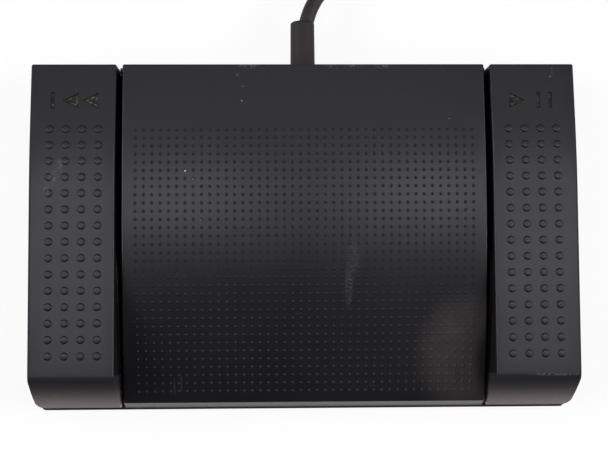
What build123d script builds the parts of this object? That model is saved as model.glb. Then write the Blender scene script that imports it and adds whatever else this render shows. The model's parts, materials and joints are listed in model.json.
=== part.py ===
from build123d import *
import os
from math import asin, cos, degrees, pi, radians, sin, sqrt, tan

# Two-pedal foot control, in millimetres: +X to the right, +Y to the rear, +Z up.
# The origin is on the floor under the middle of the housing. The left half mirrors the right.
os.makedirs("parts", exist_ok=True)

# Outer form
body_width = 229.0
rear_y = 73.3
front_y = -72.9
top_z = 34.0
crown_y = 21.7
crown_radius = 215.0
strip_y = 46.4
wall = 2.2
edge_round = 0.9
rib_thick = 1.5
rib_depth = 3.0

# Clearances
lie_gap = 0.3
press_gap = 0.01
run_gap = 0.06

# Pedals
pedal_width = 35.5
pedal_gap = 2.8
skirt_z = 7.5
nose_setback = 15.8
nose_foot_setback = 1.1
nose_round = 4.0
nose_break = 60.0
pedal_corner = 3.5
outer_draft = 1.2
inner_draft = 1.5
pedal_travel = 1.6
pedal_rib_rows = (38.0, 14.0, -8.0, -42.0)

# Grip dots on the pedals, eight-sided
dot_columns = 4
dot_rows = 15
dot_pitch = 6.74
dot_first_y = 45.25
dot_radius = 1.5
dot_height = 0.5
dot_shift = -0.65

# Cover between the pedals
cover_draft = 2.8
lip_setback = 3.3
lip_foot_setback = 0.7
lip_round = 0.8
cover_rib_count = 4
cover_rib_pitch = 24.0
flap_thick = 1.6
flap_top_z = 20.5
flap_gap = 0.35

# Base plate and feet
foot_drop = 1.5
base_thick = 2.0
base_inset = 1.0
base_corner = 2.0
foot_radius = 7.0
foot_recess = 0.7
foot_inset_x = 16.5
foot_inset_y = 17.3
rim_gap = 0.9
rim_thick = 1.6
rim_height = 9.0
rim_nose_gap = 6.7

# Hinges
hinge_inset = 13.3
hinge_z = 14.0
pin_radius = 2.0
boss_radius = 4.5
post_thick = 4.0
post_spread = 20.0
post_width = 12.0

# Return springs
spring_setback = 47.9
spring_radius = 4.0
spring_wire = 0.5
spring_turns = 6
spring_seat = 1.0
spring_top_z = 20.0
peg_height = 2.5
spring_boss_radius = 5.6

# Snap-action switches
switch_hinge_gap = 38.0
switch_length = 20.0
switch_width = 6.4
switch_height = 10.2
switch_floor_z = 7.6
switch_shift = 0.05
switch_screw_span = 9.5
switch_screw_radius = 1.0
switch_screw_rise = 2.9
switch_screw_head = 1.9
switch_head_thick = 1.2
bracket_thick = 2.4
bracket_margin = 2.0
blade_length = 3.3
blade_width = 3.0
blade_thick = 0.5
blade_spread = 7.5

# Switch levers and plungers
lever_thick = 0.5
lever_width = 3.6
lever_length = 17.0
lever_rise = 8.0
lever_eye = 1.0
lever_pin = 0.5
lever_inset = 1.4
lever_lift = 1.2
lever_contact = 14.0
ear_thick = 0.8
plunger_arm = 4.0
plunger_radius = 0.9
plunger_depth = 1.6
plunger_travel = 0.43
touch_gap = 0.12
finger_radius = 1.5
finger_width = 5.0

# Stops
bumper_setback = 20.9
bumper_radius = 4.0
bumper_thick = 3.0
bumper_floor_z = 11.0
bumper_stem = 1.6
bumper_stem_length = 4.0
stop_radius = 3.4
tongue_setback = 26.9
tongue_length = 6.0
tongue_thick = 2.5
tongue_z = 8.0
tongue_reach = 4.4

# Weight
ballast_side_gap = 15.2
ballast_depth = 78.0
ballast_thick = 4.0
ballast_setback = 58.9
ballast_lift = 1.5
ballast_corner = 6.0
ballast_hole_inset = 8.0

# Terminal board and leads
board_width = 46.0
board_depth = 22.0
board_thick = 1.6
board_inset = 31.3
board_lift = 4.5
board_hole_inset = 3.5
header_width = 8.0
header_depth = 5.0
header_height = 5.0
lead_radius = 1.1
lead_step = 6.25
lead_side_gap = 10.2
core_radius = 0.6
core_pitch = 1.8

# Cord, boot and clamp
cord_radius = 3.2
cord_z = 11.5
cord_end_inset = 14.3
boot_radius = 5.35
boot_tip_radius = 5.2
boot_neck = 4.6
boot_flange = 7.0
boot_flange_thick = 2.8
boot_tip_round = 1.2
clamp_inset = 10.3
clamp_width = 22.0
clamp_depth = 4.0
clamp_cap = 4.0
clamp_screw_x = 7.6

# Screws
cover_screw_side_gap = 8.2
cover_screw_setback = 16.9
cover_screw_inset = 13.3
screw_radius = 1.5
head_radius = 2.8
head_thick = 1.6
screw_boss = 3.6
socket_height = 2.0
small_screw_radius = 1.1
small_head_radius = 2.0

# Route of the free cord on the floor, from the boot to the coil, and the last straight into the coil
cord_route = [
    (1.8, 95.3, 11.5),
    (3.48, 102.3, 11.5),
    (11.4, 113.4, 8.4),
    (18.0, 127.8, 4.7),
    (22.0, 145.8, 4.2),
    (22.0, 162.6, 4.2),
]

# Coil of the cord that is put away: two layers, eight turns less one half
coil_heart = 23.5
coil_pitch = 6.9
coil_lead = 6.2
coil_half_turns = 7

# Tie round the coil
tie_thick = 0.8
tie_width = 4.6
tie_gap = 0.25
tie_head = (7.0, 6.0, 5.0)

# Plug
plug_droop = 2.6
plug_boot_length = 20.0
plug_boot_radius = 6.0
plug_radius = 8.5
plug_length = 23.0
plug_grooves = 5
shell_radius = 6.6
shell_length = 9.5
shell_wall = 0.5
plug_pin_count = 5
plug_pin_circle = 4.2
plug_pin_radius = 0.72
plug_pin_length = 7.0
plug_pin_step = 45.0

# Sizes that follow from the ones above
outer_x = body_width / 2
inner_x = outer_x - pedal_width
pedal_mid = (inner_x + outer_x) / 2
cover_x = inner_x - pedal_gap
base_width = body_width - 2 * base_inset
nose_y = front_y + nose_setback
nose_foot_y = front_y + nose_foot_setback
lip_y = front_y + lip_setback
lip_foot_y = front_y + lip_foot_setback
rim_front_y = nose_foot_y + rim_nose_gap
foot_x = outer_x - foot_inset_x
foot_y = rear_y - foot_inset_y
hinge_y = rear_y - hinge_inset
spring_y = front_y + spring_setback
bumper_y = front_y + bumper_setback
tongue_y = front_y + tongue_setback
switch_x = pedal_mid + switch_shift
switch_front_y = hinge_y - switch_hinge_gap - switch_length
lead_y = switch_front_y + lead_step
lead_turn_x = cover_x - lead_side_gap
ballast_width = 2 * (cover_x - ballast_side_gap)
ballast_y = front_y + ballast_setback
board_y = rear_y - board_inset
cord_end_y = rear_y - cord_end_inset
clamp_y = rear_y - clamp_inset
cover_screw_x = cover_x - cover_screw_side_gap
cover_screw_rows = (front_y + cover_screw_setback, rear_y - cover_screw_inset)
cover_rib_columns = [cover_rib_pitch * (rib - (cover_rib_count - 1) / 2) for rib in range(cover_rib_count)]
base_top = foot_drop + base_thick
ceiling_z = top_z - wall
travel = radians(pedal_travel)
post_x = (pedal_mid - post_spread / 2, pedal_mid + post_spread / 2)
high_z = 2 * top_z
to_floor = (Align.CENTER, Align.CENTER, Align.MIN)
from_top = (Align.CENTER, Align.CENTER, Align.MAX)


def crown_z(y):
    """Height of the arched top at y."""
    return top_z - crown_radius + sqrt(crown_radius**2 - (y - crown_y) ** 2)


def crown_slope(y):
    """Degrees by which the top falls to the rear at y: none on a pedal's flat, steady on the strip."""
    return degrees(asin((min(max(y, crown_y), strip_y) - crown_y) / crown_radius))


def pedal_top(y):
    """Height of a pedal's top at y."""
    if y < crown_y:
        return top_z
    return crown_z(min(y, strip_y)) - max(y - strip_y, 0) * tan(radians(crown_slope(y)))


def press_drop(y):
    """How far a pedal's underside sinks at y when it is pressed to its stop."""
    return (hinge_y - y) * sin(travel)


rear_z = pedal_top(rear_y)


def pedal_side(foot_z, inset):
    """Side view of a pedal on the YZ plane, down to foot_z, drawn in by inset."""
    with BuildSketch(Plane.YZ) as view:
        with BuildLine():
            Polyline((rear_y, foot_z), (rear_y, rear_z), (strip_y, crown_z(strip_y)))
            middle = (strip_y + crown_y) / 2
            ThreePointArc((strip_y, crown_z(strip_y)), (middle, crown_z(middle)), (crown_y, top_z))
            Line((crown_y, top_z), (nose_y, top_z))
            bend = JernArc((nose_y, top_z), (-1, 0), nose_round, nose_break)
            nose = TangentArc(bend @ 1, (nose_foot_y, skirt_z), tangent=bend % 1)
            run = nose % 1
            toe = nose @ 1 + run * ((foot_z - skirt_z) / run.Y)
            if foot_z < skirt_z:
                Line(nose @ 1, toe)
            Line(toe, (rear_y, foot_z))
        make_face()
        if inset > 0:
            offset(amount=-inset, kind=Kind.INTERSECTION)
    return view.sketch


def cover_side(foot_z, inset):
    """Side view of the cover on the YZ plane, down to foot_z, drawn in by inset."""
    lean = (lip_y - lip_foot_y) / (crown_z(lip_y) - base_top)
    with BuildSketch(Plane.YZ) as view:
        with BuildLine():
            Polyline((rear_y, foot_z), (rear_y, rear_z), (strip_y, crown_z(strip_y)))
            ThreePointArc((strip_y, crown_z(strip_y)), (crown_y, top_z), (lip_y, crown_z(lip_y)))
            toe = (lip_foot_y - lean * (base_top - foot_z), foot_z)
            Polyline((lip_y, crown_z(lip_y)), toe, (rear_y, foot_z))
        make_face()
        if inset > 0:
            offset(amount=-inset, kind=Kind.INTERSECTION)
    return view.sketch


def pedal_wall_x(z, inner):
    """X of the right pedal's inner or outer side face at height z."""
    if inner:
        return inner_x - (top_z - z) * tan(radians(inner_draft))
    return outer_x + (top_z - z) * tan(radians(outer_draft))


def pedal_form(foot_z, inset):
    """Right pedal's outer form, or with an inset the room inside its walls."""
    side = pedal_side(foot_z, inset)
    with BuildPart() as form:
        extrude(side, amount=body_width)
        with BuildSketch(Plane.XZ):
            with BuildLine():
                Polyline(
                    (pedal_wall_x(foot_z, True) + inset, foot_z),
                    (pedal_wall_x(foot_z, False) - inset, foot_z),
                    (pedal_wall_x(high_z, False) - inset, high_z),
                    (pedal_wall_x(high_z, True) + inset, high_z),
                    close=True,
                )
            make_face()
        extrude(amount=body_width, both=True, mode=Mode.INTERSECT)
        with BuildSketch(Plane.XY.offset(foot_z - 1)) as plan:
            with Locations((pedal_wall_x(foot_z, False) - inset, nose_foot_y + inset)):
                Rectangle(body_width, body_width, align=(Align.MAX, Align.MIN))
            corner = plan.vertices().group_by(Axis.Y)[0].sort_by(Axis.X)[-1]
            fillet(corner, radius=pedal_corner - inset)
        extrude(amount=high_z, mode=Mode.INTERSECT)
    return form.part


def rounded_pedal():
    """Right pedal's outer form with its edges rounded, all but those of the skirt."""

    def shows(edge):
        """True for an edge above the skirt between faces that meet at an angle."""
        place, run = edge.center(), edge % 0.5
        across = abs(run.X) > 0.9 and place.Y < rear_y - 1
        blend = abs(run.Z) > 0.95 and place.Y < 0
        return place.Z > skirt_z + 0.1 and not across and not blend

    with BuildPart() as form:
        add(pedal_form(skirt_z, 0))
        fillet(form.edges().filter_by(shows), radius=edge_round)
    return form.part


def cover_half(z):
    """Half the cover's width at height z."""
    return cover_x + (top_z - z) * tan(radians(cover_draft))


def cover_form(foot_z, inset):
    """Cover's outer form, or with an inset the room inside its walls."""
    side = cover_side(foot_z, inset)
    foot_half = cover_half(foot_z) - inset
    tip_half = cover_half(high_z) - inset
    with BuildPart() as form:
        extrude(side, amount=body_width / 2, both=True)
        with BuildSketch(Plane.XZ):
            Polygon(
                (-foot_half, foot_z),
                (foot_half, foot_z),
                (tip_half, high_z),
                (-tip_half, high_z),
                align=None,
            )
        extrude(amount=body_width, both=True, mode=Mode.INTERSECT)
    return form.part


def rounded_cover():
    """Cover's outer form with its edges rounded, all but those of the foot."""

    def shows(edge):
        """True for an edge above the foot between faces that meet at an angle."""
        place, run = edge.center(), edge % 0.5
        across = abs(run.X) > 0.9 and strip_y - 1 < place.Y < rear_y - 1
        return place.Z > base_top + 0.1 and not across

    with BuildPart() as form:
        add(cover_form(base_top, 0))
        fillet(form.edges().filter_by(shows), radius=lip_round)
    return form.part


def tube(points, radii, radius):
    """Round tube along straight runs that tangent arcs join, square at both ends."""
    with BuildPart() as run:
        with BuildLine() as route:
            if radii:
                FilletPolyline(*points, radius=radii)
            else:
                Polyline(*points)
        with BuildSketch(Plane(origin=route.line @ 0, z_dir=route.line % 0)):
            Circle(radius)
        sweep()
    return run.part


def bend_radii(points, share=0.45):
    """Radius of each corner of a route: a share of its shorter run, over the half turn's tangent."""
    radii = []
    for before, corner, after in zip(points, points[1:], points[2:]):
        run_in = Vector(*corner) - Vector(*before)
        run_out = Vector(*after) - Vector(*corner)
        half_turn = radians(run_in.get_angle(run_out)) / 2
        radii.append(share * min(run_in.length, run_out.length) / tan(half_turn))
    return radii


# Switch lever: its pivot, its line at rest, and the round-ended finger over it
switch_top_z = switch_floor_z + switch_height
pivot_y = switch_front_y + switch_length - lever_inset
pivot_z = switch_top_z + lever_lift
rise = radians(lever_rise)
plunger_y = pivot_y - plunger_arm
plunger_top_z = pivot_z + plunger_arm * tan(rise) - lever_thick / 2 / cos(rise) - touch_gap / 2
finger_y = pivot_y - lever_contact
finger_z = pivot_z + lever_contact * tan(rise) + (finger_radius + touch_gap + lever_thick / 2) / cos(rise)
bracket_x = switch_x + switch_width / 2

# Down stop and up stop
bumper_top_z = bumper_floor_z + bumper_thick
stop_z = bumper_top_z + press_drop(bumper_y) + lie_gap / 2
notch_z = tongue_z + tongue_thick + lie_gap

# Places on the base plate
rim_in_x = pedal_wall_x(skirt_z, True) + wall + rim_gap
rim_out_x = pedal_wall_x(skirt_z, False) - wall - rim_gap
rim_rear_y = rear_y - wall - rim_gap
rim_corner = 3.0
switch_mid_y = switch_front_y + switch_length / 2
switch_screw_z = switch_floor_z + switch_screw_rise
switch_screw_rows = (switch_mid_y - switch_screw_span / 2, switch_mid_y + switch_screw_span / 2)
ballast_screw_x = ballast_width / 2 - ballast_hole_inset
ballast_screw_rows = (
    ballast_y - ballast_depth / 2 + ballast_hole_inset,
    ballast_y + ballast_depth / 2 - ballast_hole_inset,
)
board_top_z = base_top + board_lift + board_thick
board_screw_places = [
    (side * (board_width / 2 - board_hole_inset), board_y + end * (board_depth / 2 - board_hole_inset))
    for side in (-1, 1)
    for end in (-1, 1)
]
header_x = board_width / 2 - header_depth / 2 - 2 * board_hole_inset
cord_header_y = board_y + board_depth / 2 - header_depth / 2
lead_floor_z = base_top + lead_radius + lie_gap / 3
lead_top_z = board_top_z + header_height / 2
lead_rise_x = 46.0
lead_fall_x = 29.0
lead_notch = 2 * lead_radius + 2.0
lead_notch_z = base_top + 2 * lead_radius + 0.6
clamp_split = 0.6
clamp_hole_z = base_top + 1.5
clamp_top_z = cord_z + clamp_split / 2 + clamp_cap
boot_bend_y = 87.8

# Places on the pedals, the cover and the springs
pin_start = pedal_wall_x(hinge_z, True) + 0.6
pin_end = pedal_wall_x(hinge_z, False) - wall - 0.6
peg_radius = spring_radius - spring_wire - 0.4
spring_floor_z = base_top + spring_seat
spring_length = spring_top_z - spring_floor_z
tongue_side_gap = 1.0
rib_floor_z = 12.0
boss_foot_z = foot_drop + socket_height + base_thick
pilot_depth = 9.0
web_reach = screw_boss + 4.0
cover_outside = rounded_cover()
droop_gap = 0.2
plug_seat = 6.0
plug_pin_fan = plug_pin_step * plug_pin_count
plug_pin_start = 0.0

# Right pedal, hollow from below, with everything that hangs on its underside
pedal_room = pedal_form(skirt_z - 3 * wall, wall)
boss_start = pedal_wall_x(hinge_z, True) + wall / 2
boss_end = pedal_wall_x(hinge_z, False) - wall / 2
with BuildPart() as right_pedal:
    add(rounded_pedal())
    add(pedal_room, mode=Mode.SUBTRACT)
    for row_y in pedal_rib_rows:
        with Locations((pedal_mid, row_y, pedal_top(row_y) - wall - rib_depth)):
            Box(pedal_width - wall, rib_thick, rib_depth + wall / 2, align=to_floor)
    for start, end in (
        (boss_start, post_x[0] - post_thick / 2 - lie_gap),
        (post_x[1] + post_thick / 2 + lie_gap, boss_end),
    ):
        with BuildSketch(Plane.YZ.offset(start)):
            with Locations((hinge_y, hinge_z)):
                Circle(boss_radius)
        extrude(amount=end - start)
    with BuildSketch(Plane.YZ.offset(boss_start - wall)):
        with Locations((hinge_y, hinge_z)):
            Circle(pin_radius + run_gap)
    extrude(amount=pin_end + lie_gap - boss_start + wall, mode=Mode.SUBTRACT)
    with Locations((pedal_mid, spring_y, spring_top_z)):
        Cylinder(spring_boss_radius, ceiling_z - spring_top_z + wall / 2, align=to_floor)
    with Locations((pedal_mid, spring_y, spring_top_z - peg_height)):
        Cylinder(peg_radius, peg_height + wall, align=to_floor)
    with Locations((pedal_mid, bumper_y, stop_z)):
        Cylinder(stop_radius, ceiling_z - stop_z + wall / 2, align=to_floor)
    with BuildSketch(Plane.YZ.offset(switch_x - finger_width / 2)):
        with Locations((finger_y, finger_z)):
            Circle(finger_radius)
            Rectangle(2 * finger_radius, ceiling_z + wall / 2 - finger_z, align=(Align.CENTER, Align.MIN))
    extrude(amount=finger_width)
    with Locations((pedal_wall_x(tongue_z, True) + wall / 2, tongue_y, tongue_z)):
        Box(tongue_reach + wall / 2, tongue_length, tongue_thick, align=(Align.MAX, Align.CENTER, Align.MIN))
    for row in range(dot_rows):
        row_y = dot_first_y - row * dot_pitch
        tilt = Location((pedal_mid + dot_shift, row_y, pedal_top(row_y)), (-crown_slope(row_y), 0, 0))
        with BuildSketch(Plane(tilt).offset(-dot_height / 2)):
            with GridLocations(dot_pitch, dot_pitch, dot_columns, 1):
                RegularPolygon(dot_radius + dot_height / 2, 8)
        extrude(amount=1.5 * dot_height, taper=45)
right_pedal.part.label = "right_pedal"
export_step(right_pedal.part, "parts/right_pedal.step")

with BuildPart() as left_pedal:
    mirror(right_pedal.part, about=Plane.YZ)
left_pedal.part.label = "left_pedal"
export_step(left_pedal.part, "parts/left_pedal.step")

# Cover between the pedals, hollow from below, with a flap at each gap's rear end
with BuildPart() as center_cover:
    add(rounded_cover())
    add(cover_form(base_top - 3 * wall, wall), mode=Mode.SUBTRACT)
    rib_outline = cover_side(base_top - 3 * wall, wall / 2)
    rib_inside = cover_side(base_top - 3 * wall, wall + rib_depth)
    for column_x in cover_rib_columns:
        with BuildSketch(Plane.YZ.offset(column_x - rib_thick / 2)):
            add(rib_outline)
            add(rib_inside, mode=Mode.SUBTRACT)
            with Locations((0, high_z / 2 + rib_floor_z)):
                Rectangle(body_width, high_z, mode=Mode.INTERSECT)
        extrude(amount=rib_thick)
    for row_y in cover_screw_rows:
        roof_z = pedal_top(row_y) if row_y > crown_y else crown_z(row_y)
        with Locations((-cover_screw_x, row_y, boss_foot_z), (cover_screw_x, row_y, boss_foot_z)):
            Cylinder(screw_boss, roof_z - wall / 2 - boss_foot_z, align=to_floor)
            with Locations((0, 0, wall)):
                Box(2 * web_reach, rib_thick, roof_z - 3 * wall - boss_foot_z, align=to_floor)
        with Locations((-cover_screw_x, row_y, boss_foot_z), (cover_screw_x, row_y, boss_foot_z)):
            Cylinder(screw_radius + press_gap, pilot_depth, align=to_floor, mode=Mode.SUBTRACT)
    add(cover_outside, mode=Mode.INTERSECT)
    with BuildSketch(Plane.XZ.offset(-rear_y)):
        for side in (-1, 1):
            Polygon(
                (side * (cover_half(skirt_z) - wall / 2), skirt_z),
                (side * (pedal_wall_x(skirt_z, True) - flap_gap), skirt_z),
                (side * (pedal_wall_x(flap_top_z, True) - flap_gap), flap_top_z),
                (side * (cover_half(flap_top_z) - wall / 2), flap_top_z),
                align=None,
            )
    extrude(amount=flap_thick)
    with BuildSketch(Plane.XZ.offset(-rear_y - wall)):
        with Locations((0, cord_z)):
            Circle(boot_neck + press_gap)
            Rectangle(2 * (boot_neck + press_gap), 2 * cord_z, align=(Align.CENTER, Align.MAX))
    extrude(amount=3 * wall, mode=Mode.SUBTRACT)
    for side in (-1, 1):
        with Locations((side * cover_x, tongue_y, 0)):
            Box(4 * wall, tongue_length + 2 * tongue_side_gap, 2 * notch_z, mode=Mode.SUBTRACT)
        with Locations((side * cover_x, lead_y, 0)):
            Box(4 * wall, lead_notch, 2 * lead_notch_z, mode=Mode.SUBTRACT)
center_cover.part.label = "center_cover"
export_step(center_cover.part, "parts/center_cover.step")

# Base plate: tray, pedal rims, hinge posts, seats, brackets and bosses
with BuildPart() as base_plate:
    with BuildSketch(Plane.XY.offset(foot_drop)):
        with Locations((0, (rear_y + front_y) / 2)):
            RectangleRounded(base_width, rear_y - front_y, base_corner)
    extrude(amount=base_thick)
    for side in (-1, 1):
        mid_x = side * pedal_mid
        with BuildSketch(Plane.XY.offset(base_top)):
            with Locations((side * (rim_in_x + rim_out_x) / 2, (rim_front_y + rim_rear_y) / 2)):
                RectangleRounded(rim_out_x - rim_in_x, rim_rear_y - rim_front_y, rim_corner)
                RectangleRounded(
                    rim_out_x - rim_in_x - 2 * rim_thick,
                    rim_rear_y - rim_front_y - 2 * rim_thick,
                    rim_corner - rim_thick,
                    mode=Mode.SUBTRACT,
                )
        extrude(amount=rim_height)
        with Locations((mid_x, hinge_y, hinge_z - boss_radius - 1)):
            Box(2 * pedal_width, 2 * boss_radius + 2, rim_height, align=to_floor, mode=Mode.SUBTRACT)
        with Locations((side * rim_in_x, lead_y, base_top)):
            Box(4 * rim_thick, lead_notch, lead_notch_z - base_top, align=to_floor, mode=Mode.SUBTRACT)
        for centre_x in post_x:
            with BuildSketch(Plane.YZ.offset(side * centre_x - post_thick / 2)):
                with Locations((hinge_y, hinge_z)):
                    Circle(boss_radius)
                Polygon(
                    (hinge_y - post_width / 2, base_top - base_thick / 2),
                    (hinge_y + post_width / 2, base_top - base_thick / 2),
                    (hinge_y + boss_radius, hinge_z),
                    (hinge_y - boss_radius, hinge_z),
                    align=None,
                )
                with Locations((hinge_y, hinge_z)):
                    Circle(pin_radius + press_gap, mode=Mode.SUBTRACT)
            extrude(amount=post_thick)
        with Locations((mid_x, spring_y, base_top)):
            Cylinder(spring_boss_radius, spring_seat, align=to_floor)
            Cylinder(peg_radius, spring_seat + peg_height, align=to_floor)
        with Locations((mid_x, bumper_y, base_top)):
            Cylinder(bumper_radius + 1, bumper_floor_z - base_top, align=to_floor)
        with Locations((mid_x, bumper_y, bumper_floor_z - bumper_stem_length)):
            Cylinder(bumper_stem + press_gap, bumper_stem_length, align=to_floor, mode=Mode.SUBTRACT)
        with Locations((side * (bracket_x + bracket_thick / 2), switch_mid_y, base_top)):
            Box(
                bracket_thick,
                switch_length + 2 * bracket_margin,
                switch_top_z - base_top - bracket_margin,
                align=to_floor,
            )
        with BuildSketch(Plane.XZ.offset(-switch_mid_y - rib_thick / 2)):
            Polygon(
                (side * (bracket_x + bracket_thick), base_top),
                (side * (bracket_x + bracket_thick), switch_top_z - 2 * bracket_margin),
                (side * (bracket_x + 3 * bracket_thick), base_top),
                align=None,
            )
        extrude(amount=rib_thick)
        for screw_y in switch_screw_rows:
            with Locations(Location((side * bracket_x, screw_y, switch_screw_z), (0, 90, 0))):
                Cylinder(switch_screw_radius + press_gap, 4 * bracket_thick, mode=Mode.SUBTRACT)
    for column_x in (-ballast_screw_x, ballast_screw_x):
        for row_y in ballast_screw_rows:
            with Locations((column_x, row_y, base_top)):
                Cylinder(head_radius + 1, ballast_lift, align=to_floor)
                Cylinder(screw_radius + press_gap, ballast_lift, align=to_floor, mode=Mode.SUBTRACT)
    for row_y in (ballast_y - ballast_depth / 4, ballast_y + ballast_depth / 4):
        with Locations((0, row_y, base_top)):
            Box(ballast_width, rib_thick, ballast_lift, align=to_floor)
    for place in board_screw_places:
        with Locations((place[0], place[1], base_top)):
            Cylinder(small_head_radius + 0.6, board_lift, align=to_floor)
            Cylinder(small_screw_radius + press_gap, board_lift, align=to_floor, mode=Mode.SUBTRACT)
    with Locations((0, clamp_y, base_top)):
        Box(clamp_width, clamp_depth, cord_z - base_top - clamp_split / 2, align=to_floor)
    for side in (-1, 1):
        with Locations((side * clamp_screw_x, clamp_y, clamp_hole_z)):
            Cylinder(small_screw_radius + press_gap, cord_z, align=to_floor, mode=Mode.SUBTRACT)
    with Locations(Location((0, clamp_y, cord_z), (90, 0, 0))):
        Cylinder(cord_radius + press_gap, 2 * clamp_depth, mode=Mode.SUBTRACT)
    with Locations((0, rear_y - wall / 2, base_top)):
        Box(2 * boot_neck - lie_gap, wall - lie_gap, cord_z - base_top, align=to_floor)
    with Locations(Location((0, rear_y, cord_z), (90, 0, 0))):
        Cylinder(boot_neck + press_gap, 4 * wall, mode=Mode.SUBTRACT)
    for row_y in cover_screw_rows:
        for column_x in (-cover_screw_x, cover_screw_x):
            with Locations((column_x, row_y, base_top)):
                Cylinder(head_radius + 2, socket_height, align=to_floor)
            with Locations((column_x, row_y, foot_drop)):
                Cylinder(head_radius + lie_gap, socket_height, align=to_floor, mode=Mode.SUBTRACT)
                Cylinder(screw_radius + lie_gap, high_z, mode=Mode.SUBTRACT)
    with Locations((-foot_x, -foot_y), (-foot_x, foot_y), (foot_x, -foot_y), (foot_x, foot_y)):
        with Locations((0, 0, foot_drop)):
            Cylinder(foot_radius + lie_gap / 2, foot_recess, align=to_floor, mode=Mode.SUBTRACT)
base_plate.part.label = "base_plate"
export_step(base_plate.part, "parts/base_plate.step")

with BuildPart() as rubber_feet:
    with Locations((-foot_x, -foot_y), (-foot_x, foot_y), (foot_x, -foot_y), (foot_x, foot_y)):
        Cylinder(foot_radius, foot_drop + foot_recess, align=to_floor)
    chamfer(rubber_feet.faces().sort_by(Axis.Z)[:4].edges(), length=0.6)
rubber_feet.part.label = "rubber_feet"
export_step(rubber_feet.part, "parts/rubber_feet.step")

# Hinge pins, springs and bumpers
for hand, side in (("left", -1), ("right", 1)):
    with BuildPart() as hinge_pin:
        with BuildSketch(Plane.YZ.offset(side * pin_start)):
            with Locations((hinge_y, hinge_z)):
                Circle(pin_radius)
        extrude(amount=side * (pin_end - pin_start))
        chamfer(hinge_pin.edges().filter_by(GeomType.CIRCLE), length=0.4)
    hinge_pin.part.label = f"{hand}_hinge_pin"
    export_step(hinge_pin.part, f"parts/{hand}_hinge_pin.step")

    with BuildPart() as return_spring:
        with BuildLine() as coils:
            spring_base = (0, 0, -spring_length / 2)
            Helix(spring_length / spring_turns, spring_length, spring_radius, center=spring_base)
        with BuildSketch(Plane(origin=coils.line @ 0, z_dir=coils.line % 0)):
            RegularPolygon(spring_wire, 6)
        sweep(is_frenet=True)
        Box(4 * spring_radius, 4 * spring_radius, spring_length - 2 * spring_wire, mode=Mode.INTERSECT)
    spring_place = Location((side * pedal_mid, spring_y, (spring_floor_z + spring_top_z) / 2))
    with BuildPart() as placed_spring:
        add(return_spring.part.moved(spring_place))
    placed_spring.part.label = f"{hand}_return_spring"
    export_step(placed_spring.part, f"parts/{hand}_return_spring.step")

with BuildPart() as pedal_bumpers:
    with Locations((-pedal_mid, bumper_y, bumper_floor_z), (pedal_mid, bumper_y, bumper_floor_z)):
        Cylinder(bumper_radius, bumper_thick, align=to_floor)
        with Locations((0, 0, lie_gap - bumper_stem_length)):
            Cylinder(bumper_stem, bumper_stem_length, align=to_floor)
    fillet(pedal_bumpers.faces().sort_by(Axis.Z)[-2:].edges(), radius=0.8)
pedal_bumpers.part.label = "pedal_bumpers"
export_step(pedal_bumpers.part, "parts/pedal_bumpers.step")

# Switches
for hand, side in (("left", -1), ("right", 1)):
    mid_x = side * switch_x
    with BuildPart() as switch_body:
        with Locations((mid_x, switch_mid_y, switch_floor_z)):
            Box(switch_width, switch_length, switch_height, align=to_floor)
        chamfer(switch_body.edges().filter_by(Axis.Z), length=0.5)
        with BuildSketch(Plane.YZ.offset(mid_x - lever_width / 2 - run_gap - ear_thick)):
            Polygon(
                (pivot_y - lever_eye - ear_thick, switch_top_z - ear_thick),
                (pivot_y + lever_eye, switch_top_z - ear_thick),
                (pivot_y + lever_eye, pivot_z + lever_eye),
                (pivot_y - lever_eye, pivot_z + lever_eye),
                align=None,
            )
        extrude(amount=lever_width + 2 * run_gap + 2 * ear_thick)
        with Locations((mid_x, pivot_y, switch_top_z)):
            Box(lever_width + 2 * run_gap, 4 * lever_eye, 4 * lever_lift, align=to_floor, mode=Mode.SUBTRACT)
        with Locations(Location((mid_x, pivot_y, pivot_z), (0, 90, 0))):
            Cylinder(lever_pin, lever_width + 2 * ear_thick)
        for screw_y in switch_screw_rows:
            with Locations(Location((mid_x, screw_y, switch_screw_z), (0, 90, 0))):
                Cylinder(switch_screw_radius + press_gap, 2 * switch_width, mode=Mode.SUBTRACT)
        with Locations((mid_x, plunger_y, switch_top_z)):
            Cylinder(
                plunger_radius + run_gap,
                plunger_depth + plunger_travel + lie_gap,
                align=from_top,
                mode=Mode.SUBTRACT,
            )
    switch_body.part.label = f"{hand}_switch_body"
    export_step(switch_body.part, f"parts/{hand}_switch_body.step")

    with BuildPart() as switch_lever:
        with BuildSketch(Plane.YZ.offset(mid_x - lever_width / 2)):
            with Locations(Location((pivot_y, pivot_z), -lever_rise)):
                Rectangle(lever_length, lever_thick, align=(Align.MAX, Align.CENTER))
            with Locations((pivot_y, pivot_z)):
                Circle(lever_eye)
                Circle(lever_pin + run_gap, mode=Mode.SUBTRACT)
        extrude(amount=lever_width)
    switch_lever.part.label = f"{hand}_switch_lever"
    export_step(switch_lever.part, f"parts/{hand}_switch_lever.step")

    with BuildPart() as switch_plunger:
        with Locations((mid_x, plunger_y, switch_top_z - plunger_depth)):
            Cylinder(plunger_radius, plunger_top_z - switch_top_z + plunger_depth, align=to_floor)
        fillet(switch_plunger.edges().group_by(Axis.Z)[-1], radius=0.4)
    switch_plunger.part.label = f"{hand}_switch_plunger"
    export_step(switch_plunger.part, f"parts/{hand}_switch_plunger.step")

    with BuildPart() as switch_blades:
        for step in (-1, 0, 1):
            with Locations((mid_x, switch_mid_y + step * blade_spread, switch_floor_z)):
                Box(blade_thick, blade_width, blade_length, align=from_top)
    switch_blades.part.label = f"{hand}_switch_terminals"
    export_step(switch_blades.part, f"parts/{hand}_switch_terminals.step")

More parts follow.
